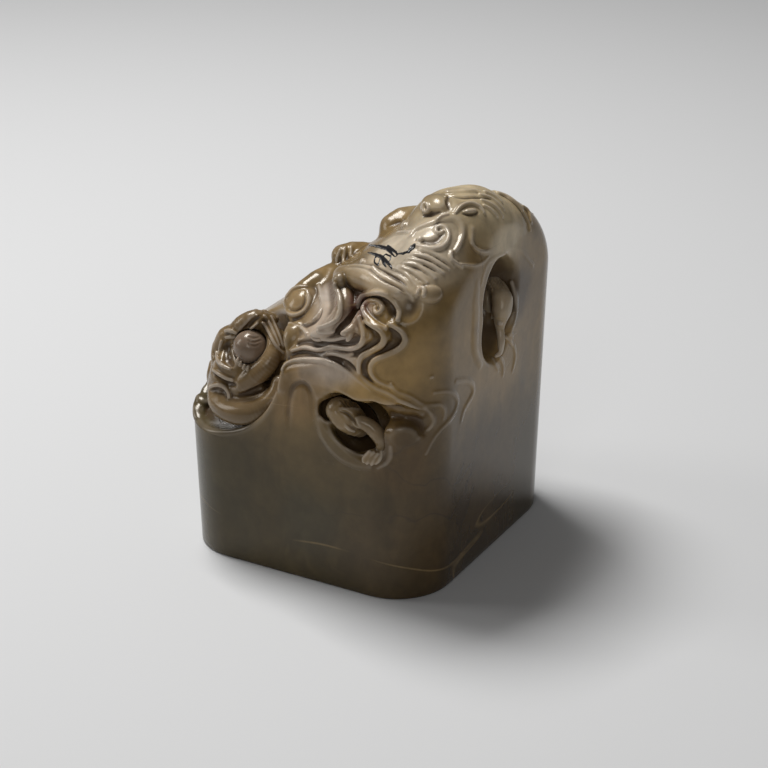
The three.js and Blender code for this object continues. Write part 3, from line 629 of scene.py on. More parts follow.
def soapstone(name, cast=(0.2, 0.16, 0.1, 1), cast_share=0.0, glow=0.08):
    """Polished soapstone, with its own cast of colour over the block's pattern."""
    material = fresh_material(name, {
        "Subsurface Weight": glow, "Subsurface Radius": (1, 0.6, 0.35), "Subsurface Scale": 0.0015,
        "Specular IOR Level": 0.38, "Specular Tint": (1, 0.92, 0.8, 1), "IOR": 1.5,
        "Coat Weight": 0.12, "Coat Roughness": 0.1})
    tree = material.node_tree
    shader = tree.nodes["Principled BSDF"]
    stone = tree.nodes.new("ShaderNodeGroup")
    stone.node_tree = pattern
    stone.inputs["Cast"].default_value = cast
    stone.inputs["Cast share"].default_value = cast_share
    stone.inputs["Patina and shade"].default_value = 0.75
    bump = tree.nodes.new("ShaderNodeBump")
    bump.inputs["Strength"].default_value = 0.35
    bump.inputs["Distance"].default_value = POLISH_DEPTH
    tree.links.new(stone.outputs["Height"], bump.inputs["Height"])
    tree.links.new(stone.outputs["Colour"], shader.inputs["Base Color"])
    tree.links.new(stone.outputs["Roughness"], shader.inputs["Roughness"])
    tree.links.new(bump.outputs["Normal"], shader.inputs["Normal"])
    return material


# Dragon's head on the slope
# The head is cut in the block itself: brow, snout scroll, eye and mouth lines are rounded ridges
# left proud between gouged hollows. The far side, which the photograph hides, has the same forms.

KNOB_STEP = 0.26
KNOB_TRIANGLES = 190000
SHADE_PER_MM = 0.17

KNOB_BOX = ((-33, -36.5, COLUMN_HEIGHT - 2), (33.5, 36.5, 84))
knob = Clay(*KNOB_BOX, KNOB_STEP)
whole, (grid_x, grid_y, grid_z) = knob.window(knob.low, knob.low + knob.step * knob.count)
knob.field[...] = block_distance(grid_x, grid_y, grid_z).astype(np.float32)

# Lobes of the eye and cheek, the brow's roll and the tube that runs down from it
EYE_PIXEL = (303, 303)
EYE_PLACE = knob.hit([EYE_PIXEL])[0]
BROW_ROLL = [
    ([(293, 303), (303, 294), (316, 285), (331, 274)], (2, 2.6, 2.8, 2.2), (-0.8, -1.6, -3, -5.5), 2),
]
tube(knob, EYE_PLACE, BROW_ROLL)
EYE_AND_CHEEK_LOBES = [
    ((302, 305), (3.9, 4.3, 2.9), -0.9, 0.6),
    ((291, 336), (2.9, 3.7, 2.4), -0.7, 0.6),
]
dab(knob, EYE_AND_CHEEK_LOBES, mirror=True)
EYE_HOLLOW = [
    ([(328, 270), (330, 285), (331.5, 300), (329.5, 312), (321, 321)], (1.2, 2, 2.2, 2, 1.2), 1.4, 0.7),
]
carve(knob, EYE_HOLLOW, cut=True, mirror=True)
BROW_RIDGES = [
    ([(346, 278), (358, 279), (371, 281), (385, 287.5), (399, 294), (412, 300)],
     (2.3, 2.7, 2.7, 2.3, 1.7, 0.9), (0.5, 0.8, 0.7, 0.2, -0.3, -0.4), 0.5),
    ([(343, 280), (346, 290), (348.5, 302), (347, 312), (342, 320), (334, 328.5), (325, 334), (316, 336)],
     (1.7, 2, 1.9, 1.9, 1.9, 1.7, 1.4, 1.1), (0.5, 0.4, 0.3, 0.4, 0.5, 0.5, 0.4, 0.2), 0.4),
    ([(357, 331), (357, 322), (361, 314)], (1.1, 1.2, 0.8), -0.2, 0.5),
]
carve(knob, BROW_RIDGES, mirror=True)

# Gouged hollows between them
FACE_GOUGES = [
    ([(283, 312), (290, 321.5), (302, 326), (315, 322.5), (321.5, 311), (320, 296)],
     (0.4, 0.6, 0.6, 0.6, 0.5, 0.4), 0.2, 0.4),
    ([(348, 266), (362, 266), (374, 269.5), (384, 278), (398, 285.5), (410, 292)],
     (0.4, 0.7, 0.9, 0.9, 0.7, 0.4), 0.3, 0.4),
    ([(366, 298), (359.5, 304.5), (355, 312), (350.5, 320), (344, 327.5), (336, 333)],
     (0.6, 1.2, 1.5, 1.6, 1.3, 0.5), (-0.3, -0.8, -1.1, -1, -0.4, 0.2)),
    ([(362, 309), (367, 300.5), (379, 297), (390, 301), (396, 310), (391, 318)],
     (0.7, 1, 1, 1.2, 1.4, 0.9), 0.5, 0.4),
]
carve(knob, FACE_GOUGES, cut=True, mirror=True)
FACE_PITS = [
    ((390, 311), (1.6, 1.8, 1.1), 0.5, 0.5),
    ((409, 306), (2.4, 2.8, 1.5), 0.4, 1),
]
dab(knob, FACE_PITS, cut=True, mirror=True)
MOUTH_GOUGES = [
    ([(355, 334), (359, 338.5), (352, 343), (339, 343.5), (322, 344.5), (307, 341), (299, 344)],
     (0.6, 1.2, 1.2, 1.1, 1.1, 1.1, 0.7), 0.25, 0.35),
    ([(367, 324), (376, 332), (376, 342), (367, 349), (352, 353), (337, 351.5), (320, 354), (300, 353),
     (286, 357)], (0.6, 1.4, 1.5, 1.3, 0.9, 0.8, 0.8, 0.9, 1), 0.25, 0.35),
    ([(390, 329), (397, 337), (394, 345), (381, 351.5), (367, 358.5), (363, 367), (366, 377), (375, 386)],
     (0.7, 1.5, 1.5, 1.2, 1, 1.1, 0.9, 0.5), 0.3, 0.35),
    ([(287, 359), (305, 357.5), (322, 357.5), (337, 361), (350, 367), (358, 376), (369, 388)],
     (0.6, 0.9, 1, 1, 1.1, 0.9, 0.5), 0.2),
]
carve(knob, MOUTH_GOUGES, cut=True, mirror=True)

# Eye and cheek
EYE_MOUND = ((-6.7, 18.5, 56.2), (3.1, 3.1, 2.8), 0.6)
EYEBALL = ((-7.4, 18.9, 57), 1.8, 0.1)
for side in (-1, 1):
    for (x, y, z), radii, soft in (EYE_MOUND, EYEBALL):
        knob.ball((x, y * side, z), radii, soft)
EYE_GROOVE = [
    ([(287.5, 308), (292, 311.5), (298, 311), (303.5, 306.5), (305.5, 299.5), (303.5, 293)],
     (0.2, 0.3, 0.35, 0.35, 0.3, 0.2), 0.2, 0.2),
]
carve(knob, EYE_GROOVE, cut=True, mirror=True)
EYE_LINES = [
    ([(284.5, 309), (290, 314.5), (298, 315), (306, 310.5), (309.5, 301), (307, 291.5)],
     (0.3, 0.45, 0.5, 0.5, 0.45, 0.3)),
    ([(287, 297), (291, 291.5), (298, 287), (306, 287)], (0.4, 0.5, 0.5, 0.4), 0.05),
    ([(281, 311), (277.5, 320), (277.5, 332), (281, 343), (289, 351.5)],
     (0.4, 0.55, 0.6, 0.55, 0.4), 0.1, 0.35),
    ([(288, 323), (296, 326.5), (304, 329), (307, 334)], (0.4, 0.5, 0.5, 0.4), 0, 0.35),
    ([(319, 286), (321.5, 296), (322.5, 306), (319.5, 314), (314, 319)],
     (0.4, 0.45, 0.45, 0.4), -0.1, 0.35),
]
carve(knob, EYE_LINES, mirror=True)
CHEEK_CURLS = [
    [(309, 338), (309, 331), (314, 326.5), (322, 328.5), (330, 328), (335.5, 321), (339, 312)],
    [(313, 339), (313.5, 333.5), (318, 330.5), (326, 332), (333, 330.5)],
    [(335.5, 284), (340, 295), (341, 308), (337, 319), (329.5, 325), (320, 327.5)],
]
carve_all(knob, CHEEK_CURLS, (0.45, 0.6, 0.6, 0.45), 0.15, 0.25, mirror=True)
UPPER_LIP = [
    ([(313, 338), (318, 341), (322, 337.5), (318, 334)], (0.4, 0.45, 0.45, 0.35)),
    ([(322, 338.5), (334, 339), (346, 337)], (0.35, 0.45, 0.35), 0.2),
]
carve(knob, UPPER_LIP, mirror=True)

# Spiral behind the snout
SNOUT_SPIRAL = [
    ([(357, 306), (360, 299), (367, 293.5), (378, 291.5), (389, 295), (397, 303), (400.5, 312), (398, 320)],
     (0.45, 0.6, 0.65, 0.65, 0.65, 0.65, 0.6, 0.5), 0.15, 0.4),
    ([(363.5, 308), (367, 303.5), (373, 301), (379.5, 302), (383.5, 307), (382.5, 312.5), (377.5, 314.5),
     (374, 311), (376, 307.5)], (0.5, 0.65, 0.65, 0.6, 0.55, 0.55, 0.5, 0.45, 0.35), 0.15, 0.25),
    ([(363, 309), (366, 315.5), (372, 321), (379, 325.5), (386, 328.5)],
     (0.5, 0.7, 0.7, 0.6, 0.45), 0.25, 0.4),
]
carve(knob, SNOUT_SPIRAL, mirror=True)

# Fang, a small tooth and the waves of the mouth
FANG_PIXEL = (354, 334)
FANG_PLACE = knob.hit([FANG_PIXEL])[0]
FANG_AND_TOOTH = [
    ([(336.5, 335), (343, 333.5), (350, 330), (355, 325), (358, 320)], (0.25, 0.6, 0.9, 0.9, 0.6),
     (0.8, 0.6, 0.2, -0.4, -1), 0.25),
    ([(352, 330), (349.5, 336.5), (345, 343.5)], (0.7, 0.6, 0.25), (0.2, 0.5, 0.7), 0.25),
]
tube(knob, FANG_PLACE, FANG_AND_TOOTH)
MOUTH_WAVES = [
    ([(359, 318), (362.5, 326), (365, 336), (362, 344), (353, 348.5), (342, 348.5), (333, 346),
     (325, 348.5), (318, 350.5), (306, 347.5), (293, 350.5)],
     (0.45, 0.65, 0.65, 0.6, 0.5, 0.45, 0.45, 0.45, 0.45, 0.4, 0.35), 0.1, 0.4),
    ([(366, 321), (374, 325.5), (382, 329.5), (385.5, 337), (382, 345), (372, 351.5), (362, 356),
     (358.5, 363), (359, 372)], (0.45, 0.6, 0.7, 0.7, 0.7, 0.65, 0.6, 0.5, 0.4), 0.1, 0.45),
    ([(390, 324.5), (399, 328), (405.5, 336), (404.5, 344), (397, 351), (384, 356.5), (374, 361),
     (371, 369), (375, 378.5), (384, 384), (391, 386)],
     (0.45, 0.6, 0.65, 0.65, 0.65, 0.6, 0.6, 0.55, 0.55, 0.45, 0.4), 0, 0.5),
    ([(292, 357), (305, 355.5), (320, 355), (334, 353.5), (345, 356), (353, 354.5)],
     (0.35, 0.4, 0.45, 0.45, 0.4, 0.35), 0.05),
]
carve(knob, MOUTH_WAVES, mirror=True)

# Cloud band: a rolled arch under the mouth, with a sharp lip, that runs on over the flank
CLOUD_BAND = [
    ([(282, 388), (286, 374), (298, 369), (320, 371), (338, 378), (353, 388), (368, 397), (385, 404),
     (402, 412)], (1.4, 2.4, 2.9, 3.1, 3, 2.8, 2.4, 1.8, 0.9),
     (-0.9, -1.4, -1.7, -1.8, -1.7, -1.6, -1.4, -1.1, -0.7), 0.9),
    ([(283, 370), (287, 364), (296, 361), (310, 360), (324, 361.5), (336, 366), (347, 374), (359, 383.5),
     (371, 392)], (0.4, 0.5, 0.55, 0.55, 0.6, 0.65, 0.65, 0.6, 0.4), 0.15, 0.35),
    ([(346, 363), (353, 369), (362, 378), (374, 386.5), (388, 392), (400, 400), (411, 407)],
     (0.4, 0.6, 0.7, 0.7, 0.6, 0.55, 0.4), 0, 0.45),
]
carve(knob, CLOUD_BAND, mirror=True)

# Thin folds of the cloud on the corner and the flank
CLOUD_FOLDS = [
    [(391, 386), (397, 392), (406, 395), (414, 399), (420, 404), (430, 405.5), (440, 404), (444.5, 409),
     (443, 419)],
    [(399, 401), (408, 403.5), (415, 409), (424, 409)],
    [(425, 408), (431, 414), (434, 421), (430, 427), (423, 433), (417, 438)],
    [(434, 393), (448, 391.5), (456.5, 397), (456, 408), (450, 419), (441, 429), (432, 441), (426, 454)],
    [(455, 381), (463, 380), (471.5, 383), (473, 392), (468, 402), (463.5, 410), (461.5, 421)],
]
carve_all(knob, CLOUD_FOLDS, (0.4, 0.55, 0.55, 0.5, 0.3), -0.25, 0.6)
CLOUD_BEAD = [((431, 377), (0.6, 0.45, 0.45), -0.15, 0.3)]
dab(knob, CLOUD_BEAD)

# Lobed panel beside the low cave
LOBED_PANEL = [
    ([(289, 430), (288.5, 408), (292, 389), (301, 381.5), (309, 388), (312.5, 402), (313, 424)],
     (0.3, 0.8, 0.8, 0.7, 0.8, 0.8, 0.3), 0.55, 0.6),
]
carve(knob, LOBED_PANEL, cut=True)

# Nose tip and forehead, on the ridge line
NOSE_PLACE = (-2.5, -4, 65.5)
NOSE_TIP = [([(343, 256), (352, 254), (362, 250)], (2.5, 2.6, 1.8), (0.6, 0.2, -0.6), 1.2)]
tube(knob, NOSE_PLACE, NOSE_TIP)
NOSE_LINES = [
    [(340, 250), (338, 257), (337, 264)],
    [(345, 247), (344, 255), (343, 265)],
    [(351, 247), (351, 255), (350, 264)],
]
carve_all(knob, NOSE_LINES, (0.25, 0.4, 0.25), 0.0, 0.35)
NOSE_BEAD = [((363, 261.5), (1.1, 0.7, 0.6), 0.1, 0.3)]
dab(knob, NOSE_BEAD)
NOSTRIL_GROOVE = [([(357, 261), (363, 257.5), (369, 262)], (0.2, 0.3, 0.2), 0.1, 0.2)]
carve(knob, NOSTRIL_GROOVE, cut=True)
FOREHEAD_PLACE = (9, -1, 72)
FOREHEAD_ROLL = [([(393, 227), (403, 222), (414, 220)], (2.8, 3.1, 3), (0, -0.6, -1.2), 2.4)]
tube(knob, FOREHEAD_PLACE, FOREHEAD_ROLL)
FOREHEAD_GROOVE = [([(388, 227), (395, 223.5), (405, 222), (414, 228)], (0.3, 0.7, 0.8, 0.4), 0.35)]
carve(knob, FOREHEAD_GROOVE, cut=True)
FOREHEAD_BEAD = [((405, 226), (1.3, 0.8, 0.8), 0.1, 0.3)]
dab(knob, FOREHEAD_BEAD)
FOREHEAD_LINE = [([(386, 229), (395, 232.5), (406, 232.5), (414, 231)], (0.3, 0.4, 0.4, 0.3))]
carve(knob, FOREHEAD_LINE)

# Mane, combed back from the brow to the flank
MANE = (
    [(373, 267), (378, 274), (386, 279.5), (396, 284), (404, 289), (409, 294), (413, 300)],
    [(381, 267), (390, 273), (400, 277), (407, 283), (411, 290), (416, 296)],
    [(389, 266), (400, 270.5), (409, 276.5), (414, 284), (421, 291)],
    [(398, 266.5), (409, 269.5), (418, 276), (427, 283)],
    [(404, 263), (416, 265), (426, 271), (435, 279)],
    [(408, 259.5), (423, 262), (433, 267), (443, 273.5)],
    [(414, 254.5), (427, 257), (437, 262.5), (448, 270)],
    [(421, 250), (433, 253.5), (443, 259.5), (453, 267)],
)
SIDE_STROKES = 4
GROOVE_SHIFT = (2.2, 2.8)
for strokes, both in ((MANE[:SIDE_STROKES], True), (MANE[SIDE_STROKES:], False)):
    grooves = [[(px + GROOVE_SHIFT[0], py + GROOVE_SHIFT[1]) for px, py in path] for path in strokes]
    carve_all(knob, grooves, (0.35, 0.65, 0.6, 0.2), (0.25, 0.15, 0.2, 0.5), 0.3, cut=True, mirror=both)
    carve_all(knob, strokes, (0.4, 0.5, 0.5, 0.35), -0.05, 0.3, mirror=both)
EAR_BOSS = [((431, 294), (2.3, 1.7, 1.1), 0, 0.4)]
dab(knob, EAR_BOSS)
EAR_LINE = [
    ([(418, 294), (419, 289), (423, 287), (426, 291), (424, 296)], (0.4, 0.5, 0.5, 0.5, 0.4), 0.2),
]
carve(knob, EAR_LINE)

# Curls behind the mane
CURL_HOLLOW = [
    ([(417, 240), (428, 242), (438, 240), (442, 233), (437, 229)], (0.8, 1.1, 1.2, 0.9, 0.5), 0.6, 0.4),
]
carve(knob, CURL_HOLLOW, cut=True)
CURL_RIDGES = [
    ([(411, 236), (416, 230), (428, 225.5), (443, 221.5), (455, 221.5), (461.5, 230), (461, 240),
     (455, 251)], (0.35, 0.5, 0.55, 0.55, 0.55, 0.55, 0.5, 0.4), 0.1, 0.35),
    ([(416, 246), (428, 249), (440, 249), (447, 242.5), (449, 235), (445.5, 228), (438, 227), (434, 231.5),
     (439, 235.5), (443.5, 232)], (0.35, 0.55, 0.6, 0.6, 0.55, 0.45, 0.4, 0.4, 0.4, 0.35)),
]
carve(knob, CURL_RIDGES)
CURL_BEAD = [((420.5, 240), (0.7, 0.7, 0.6), 0.1, 0.25)]
dab(knob, CURL_BEAD)
NECK_CURL = [
    ([(451, 252), (449.5, 258), (454, 263), (461, 267)], (0.35, 0.5, 0.5, 0.3), 0.1, 0.35),
]
carve(knob, NECK_CURL, mirror=True)
NECK_LINES = [
    ([(470, 231), (470.5, 242), (474, 249), (482, 252), (491, 251)],
     (0.35, 0.5, 0.5, 0.45, 0.25), 0.1, 0.35),
    ([(461, 264), (472, 266), (483, 263), (489, 257)], (0.25, 0.35, 0.4, 0.3), 0.05, 0.35),
    ([(495, 248), (503, 246.5), (512, 247.5), (519, 248.5), (526, 256), (533, 265), (541, 274)],
     (0.25, 0.4, 0.5, 0.5, 0.45, 0.4, 0.2), 0.05, 0.35),
]
carve(knob, NECK_LINES)
CROWN_FOOT = [((507, 240), (3, 2, 0.8), -0.5, 1.5)]
dab(knob, CROWN_FOOT)

# Low cave
# A pocket is drilled and scraped out under the cloud band, and its mouth is rounded over. The
# dragon in it is cut from the stone left standing inside.

LOW_PLACE = (14, -30, 39)
LOW_CAVE_VALLEY = [
    ([(364, 409), (374, 412), (382, 419), (386, 429), (387, 441)], (1.4, 2.6, 2.4, 2, 1.2), 0.6, 1.6),
]
carve(knob, LOW_CAVE_VALLEY, cut=True)
LOW_CAVE_POCKETS = [
    ([(328, 410), (337, 405), (349, 405), (362, 413), (374, 426), (379, 441)],
     (1.9, 2.8, 3.6, 3.9, 3.7, 2.6), (0.6, 0.9, 1, 1, 0.8, 0.6), 1.8),
    ([(331, 409), (345, 410), (358, 420), (368, 434)], (2.4, 3.4, 3.8, 3), (-2, -3, -3.4, -3), 0.6),
    ([(335, 425), (345, 435), (356, 442), (367, 444)], (1.4, 2.3, 2.5, 1.7), (0.2, -1.4, -2.4, -2.6), 0.7),
    ([(344, 430), (352, 438), (360, 443), (369, 446)], (1.2, 2.1, 2.3, 1.6), (0.6, 0.6, 0.5, 0.4), 0.6),
    ([(322, 407), (328, 411)], (1.3, 1.7), (0.6, -1), 0.8),
]
tube(knob, LOW_PLACE, LOW_CAVE_POCKETS, cut=True)
LOW_CAVE_SLOPE = [
    ([(376, 408), (387, 415), (399, 418.5), (411, 420), (420, 424), (422, 432)],
     (1.2, 2.7, 2.9, 2.5, 1.9, 0.9), 0.3, 1.4),
]
carve(knob, LOW_CAVE_SLOPE, cut=True)
LOW_CAVE_LIP = [
    ([(375, 399), (386, 404.5), (398, 408.5), (410, 411), (421, 413.5)],
     (0.5, 0.9, 1, 0.9, 0.5), -0.5, 1.2),
]
carve(knob, LOW_CAVE_LIP)
LOW_CAVE_BOSS = [((400, 435), (2.7, 2.5, 2.4), -1.5, 2.2)]
dab(knob, LOW_CAVE_BOSS)
LOW_CAVE_RIM = [
    ([(320, 420), (325, 432), (334, 445), (345, 455), (357, 462), (369, 466)],
     (0.5, 1.3, 1.5, 1.5, 1.2, 0.6), -0.35, 0.9),
    ([(391, 447), (391.5, 455), (387, 463), (378, 468)], (0.4, 0.6, 0.6, 0.3), -0.2, 0.5),
]
carve(knob, LOW_CAVE_RIM)
LOW_CAVE_PITS = [
    ((333, 468), (0.45, 0.45, 0.35), 0.05, 0.2),
    ((352, 460), (0.35, 0.35, 0.3), 0.05, 0.2),
]
dab(knob, LOW_CAVE_PITS, cut=True)

# High cave
# The tall pocket on the crown's side is drilled into the same stone and scraped smooth. It is
# deeper at its foot, where the pit under the dragon shows.

HIGH_PLACE = (28, 2, 57)
HIGH_CAVE_ROOM = ((32.8, 0.3, 59.2), (9.2, 7.8, 8.6), 1.4)
HIGH_CAVE_PIT = ((32.8, -1.2, 52.5), (7.5, 6.6, 8), 1.1)
HIGH_CAVE_THROAT = ([(27, -3.6, 49.4), (25.5, -1.8, 54), (26, 1.2, 59)], (3.4, 4.2, 3.2), 1.4)
knob.ball(*HIGH_CAVE_ROOM, cut=True)
knob.ball(*HIGH_CAVE_PIT, cut=True)
knob.strand(*HIGH_CAVE_THROAT, cut=True)
HIGH_CAVE_RIM = [
    ([(482, 284), (485, 270), (492, 259.5), (501, 255), (511, 252.5), (518, 254.5), (523, 261)],
     (0.5, 0.6, 0.55, 0.5, 0.5, 0.45, 0.25), 0.05, 0.4),
    ([(478, 284), (476, 304), (475, 328), (475, 350), (480, 364)], (0.7, 1.1, 1.2, 1.1, 0.6), -0.4, 0.9),
]
carve(knob, HIGH_CAVE_RIM)
HIGH_CAVE_TOES = [
    [(492, 359), (494, 364), (498, 369.5)],
    [(500, 358), (503, 366), (502.5, 375)],
    [(513, 346), (515, 356), (512.5, 370)],
]
carve_all(knob, HIGH_CAVE_TOES, (0.4, 0.5, 0.35), -0.15, 0.45)
HIGH_CAVE_EDGE = [
    [(512, 282), (515.5, 298), (516, 314), (511, 332)],
]
carve_all(knob, HIGH_CAVE_EDGE, (0.4, 0.5, 0.35), 0.0, 0.6)
HIGH_CAVE_KNUCKLES = [
    [(505, 337), (509, 339.5), (512, 345)],
    [(509, 335), (513, 337), (515, 341)],
]
carve_all(knob, HIGH_CAVE_KNUCKLES, (0.5, 0.6, 0.3), 0.1, 0.3)

# Ledge
# The low corner of the block is cut away to a shelf, on which the beast lies. A low rim of the
# stone is left round the shelf's edge.

LEDGE_HOLLOW = ((-22, -28, 45.9), (18.6, 15.8, 16.4), 1.6)
knob.ball(*LEDGE_HOLLOW, cut=True)
LEDGE_GROOVE = [
    ([(215, 410), (223, 418.5), (235, 424), (248, 425.5), (261, 422.5), (272, 414)],
     (0.5, 0.9, 1.1, 1.1, 0.9, 0.5), 0.65, 0.8),
]
carve(knob, LEDGE_GROOVE, cut=True)
LEDGE_RIM = (((199, 404), 1.7, 0.9), ((203, 398), 1.4, 0.8), ((208, 392), 1.3, 0.7), ((198, 412), 1.2, 0.5))
for pixel, across, stand in LEDGE_RIM:
    dab(knob, [(pixel, (across, 1.3 * across, stand), -0.2, 0.9)])


def halve(piece, height):
    """Cuts a mesh flat at a height, closes it there and leaves a crisp edge."""
    work = bmesh.new()
    work.from_mesh(piece.data)
    geometry = work.verts[:] + work.edges[:] + work.faces[:]
    found = bmesh.ops.bisect_plane(
        work, geom=geometry, plane_co=(0, 0, height), plane_no=(0, 0, 1), clear_inner=True)
    rim = [e for e in found["geom_cut"] if isinstance(e, bmesh.types.BMEdge)]
    bmesh.ops.holes_fill(work, edges=rim, sides=0)
    for edge in rim:
        edge.smooth = False
    work.to_mesh(piece.data)
    work.free()


def place_piece(piece, node, body, material):
    piece.data.materials.clear()
    piece.data.materials.append(material)
    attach(piece, body)
    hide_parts(node)


STROKE_STAND = 0.4
TRIM = 0.02


def within_block(clay):
    """Takes off whatever stands past the walls of the block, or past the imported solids' box."""
    whole, axes = clay.window(clay.low, clay.low + clay.step * clay.count)
    walls = wall_distance(*axes) - STROKE_STAND
    for values, lowest, highest in zip(axes, cad_low, cad_high):
        walls = np.maximum(walls, np.maximum(lowest / MM - values, values - highest / MM) + TRIM)
    clay.field[whole] = larger(clay.field, walls, STROKE_STAND)


within_block(knob)
knob_piece = clay_mesh(knob, "dragon_head_stone", KNOB_TRIANGLES, SHADE_PER_MM)
halve(knob_piece, COLUMN_HEIGHT * MM)
place_piece(knob_piece, "dragon_knob", "seal", soapstone("amber_soapstone"))


# Crown beast
# A beast with a blunt nose lies along the top, cut from the same amber stone, with its mane swept
# back over the crown in fine grooves.

FIGURE_STEP = 0.2
CROWN_BOX = ((-8, -20, 60), (34, 28, 83))
CROWN_FILLET = 4
CROWN_SPACING = 0.6
CROWN_BODY = ((21.4, -1.5, 73.6), (8.9, 9.3, 7.4), 0)
CROWN_ROLLS = (
    ([(22, 4, 74.5), (17, 9, 72), (10, 11, 68.4), (3, 11, 64)], (5.4, 5.2, 4.2, 2.4), 2),
    ([(22, -5, 74), (25, -2, 74.2), (26, 4, 73), (26, 9, 71)], (4.2, 4.4, 4, 3), 1.5),
)

crown = Clay(*CROWN_BOX, FIGURE_STEP, CROWN_FILLET)
crown.ball(*CROWN_BODY)
for points, radii, soft in CROWN_ROLLS:
    crown.strand(smooth_path(points, CROWN_SPACING), radii, soft)
crown.bed(knob, CROWN_FILLET, CROWN_FILLET)
CROWN_BROW = [([(448, 192), (460, 190.5), (474, 191), (484, 194)], (0.8, 1, 0.9, 0.5), -0.2, 0.5)]
carve(crown, CROWN_BROW)
CROWN_BROW_GROOVE = [([(449, 196.5), (462, 198), (476, 197.5), (490, 199)], (0.3, 0.5, 0.5, 0.3), 0.2)]
carve(crown, CROWN_BROW_GROOVE, cut=True)
CROWN_LID = [
    ([(455, 214), (461, 206.5), (471, 203.5), (480, 207), (484, 213)], (0.3, 0.45, 0.5, 0.45, 0.3)),
]
carve(crown, CROWN_LID)
CROWN_EYE = [((470, 212), (1.5, 0.7, 0.6), 0.05, 0.25)]
dab(crown, CROWN_EYE)
CROWN_EYE_GROOVE = [([(463, 214), (470, 215.5), (478, 212.5)], (0.25, 0.3, 0.25), 0.1, 0.25)]
carve(crown, CROWN_EYE_GROOVE, cut=True)
CROWN_NOSE = [((434, 204), (3.4, 2.3, 1.4), 0, 1.2)]
dab(crown, CROWN_NOSE)
CROWN_MOUTH = [([(424, 216), (431, 214), (439, 211.5)], (0.4, 0.7, 0.4), 0.2, 0.4)]
carve(crown, CROWN_MOUTH, cut=True)
CROWN_NOSTRIL = [
    ([(424, 203), (423.5, 209), (427, 213), (430, 208), (427, 203.5)], (0.35, 0.45, 0.45, 0.4, 0.3)),
]
carve(crown, CROWN_NOSTRIL)
CROWN_NOSE_GROOVE = [([(448, 197), (446, 203), (449, 209)], (0.3, 0.5, 0.3), 0.2)]
carve(crown, CROWN_NOSE_GROOVE, cut=True)
CROWN_CHIN = [([(437, 220), (442, 216), (448, 215)], (0.3, 0.4, 0.3))]
carve(crown, CROWN_CHIN)
CROWN_MANE = [
    [(478, 191), (486, 192.5), (494, 196), (501, 202)],
    [(480, 195), (488, 197), (496, 202), (503, 209)],
    [(482, 200), (490, 203.5), (497, 209), (502, 216)],
    [(484, 206), (491, 210), (496, 216)],
    [(487, 190.5), (499, 194), (511, 201), (520, 210), (527, 220), (532, 231)],
    [(494, 191.5), (506, 196), (517, 204), (525, 213), (530, 222)],
]
carve_all(crown, CROWN_MANE, (0.35, 0.45, 0.45, 0.35), 0.0, 0.35)
within_block(crown)
crown_piece = clay_mesh(crown, "crown_beast_stone")
place_piece(crown_piece, "crown_beast", "seal", knob_piece.data.materials[0])


# Ledge beast
# The beast lies curled on the shelf with its coil in front, its jaws open round the pearl and its
# hair drawn back on to the dragon's cheek.

PEARL_CENTRE = np.array([-14.8, -25, 47.4])
PEARL_RADIUS = 3.6
PEARL_GAP = 0.25
BEAST_BOX = ((-33.5, -34, 29), (-3, -10, 58))
BEAST_BODY = ((-15.5, -19.5, 43), (9, 5.6, 7.6), 0)
BEAST_BROWN = (0.175, 0.112, 0.052, 1)

beast = Clay(*BEAST_BOX, FIGURE_STEP, FORM_REACH)
beast.ball(*BEAST_BODY)
BEAST_LIMBS = [
    ([(226, 384), (236, 373), (246, 366), (258, 372)], (3.9, 5.4, 5.6, 4.2), (-8.5, -6.5, -4.5, -3), 1),
    ([(230, 347), (235, 352), (240, 345)], (2.8, 3.2, 3.4), (-7.5, -6.5, -6), 1),
    ([(225, 400), (245, 402), (268, 395)], (2.2, 2.4, 2), (-5, -2, 0.5), 1),
    ([(217, 389), (220, 401), (229, 409.5), (242, 413), (256, 411.5), (268, 405), (277, 394), (280, 383)],
     (2, 2.6, 2.7, 2.7, 2.6, 2.4, 2.2, 1.8), (-7.5, -6, -3.3, -0.8, 0.8, 1.6, 2, 2), 0.7),
    ([(266, 326), (273, 337), (274, 350), (268, 363), (257, 374), (245, 384), (235, 390)],
     (1.5, 1.6, 1.9, 2.3, 2.6, 2.5, 1.8), (-1.5, 0, 1.2, 1.6, 0.6, -1.2, -3), 0.8),
    ([(268, 322), (257, 320), (246, 324), (236, 332), (227, 337), (221, 346)],
     (1.8, 2.3, 2.3, 2.1, 2.2, 1.8), (-1.5, -0.8, -1.2, -3.5, -5.5, -7), 0.9),
    ([(229, 333), (235, 331.5)], (1.2, 1.4), (-5, -4.2), 0.5),
    ([(221, 340), (217.5, 350), (218, 360), (224, 368), (232, 374)], (1.1, 1.3, 1.4, 1.4, 1.1),
     (-7.6, -7.6, -7, -5.6, -4), 0.6),
    ([(214, 364), (213, 376), (216, 388)], (1.1, 1.4, 1.3), (-9.5, -9.5, -9), 0.8),
]
tube(beast, PEARL_CENTRE, BEAST_LIMBS)
BEAST_HOLLOWS = [
    ([(229, 342), (226, 350), (227, 358), (231, 364)], (0.5, 1.2, 1.5, 0.9), 0.3, 0.5),
    ([(213, 371), (219, 377), (227, 382), (235, 385)], (0.4, 0.8, 0.9, 0.5), 0.2, 0.4),
]
carve(beast, BEAST_HOLLOWS, cut=True)
BEAST_RIDGES = [
    ([(214, 370), (220, 373.5), (227, 377.5), (233, 380)], (0.4, 0.55, 0.55, 0.4)),
    ([(211, 387), (217, 384), (224, 386), (229, 391), (230, 398)], (0.4, 0.55, 0.55, 0.5, 0.4), 0.1, 0.4),
]
carve(beast, BEAST_RIDGES)
BEAST_BROW = [
    [(226, 331), (232, 330), (237, 333)],
    [(227, 337), (233, 335.5), (238, 337)],
]
carve_all(beast, BEAST_BROW, (0.4, 0.55, 0.4), 0.15, 0.3)
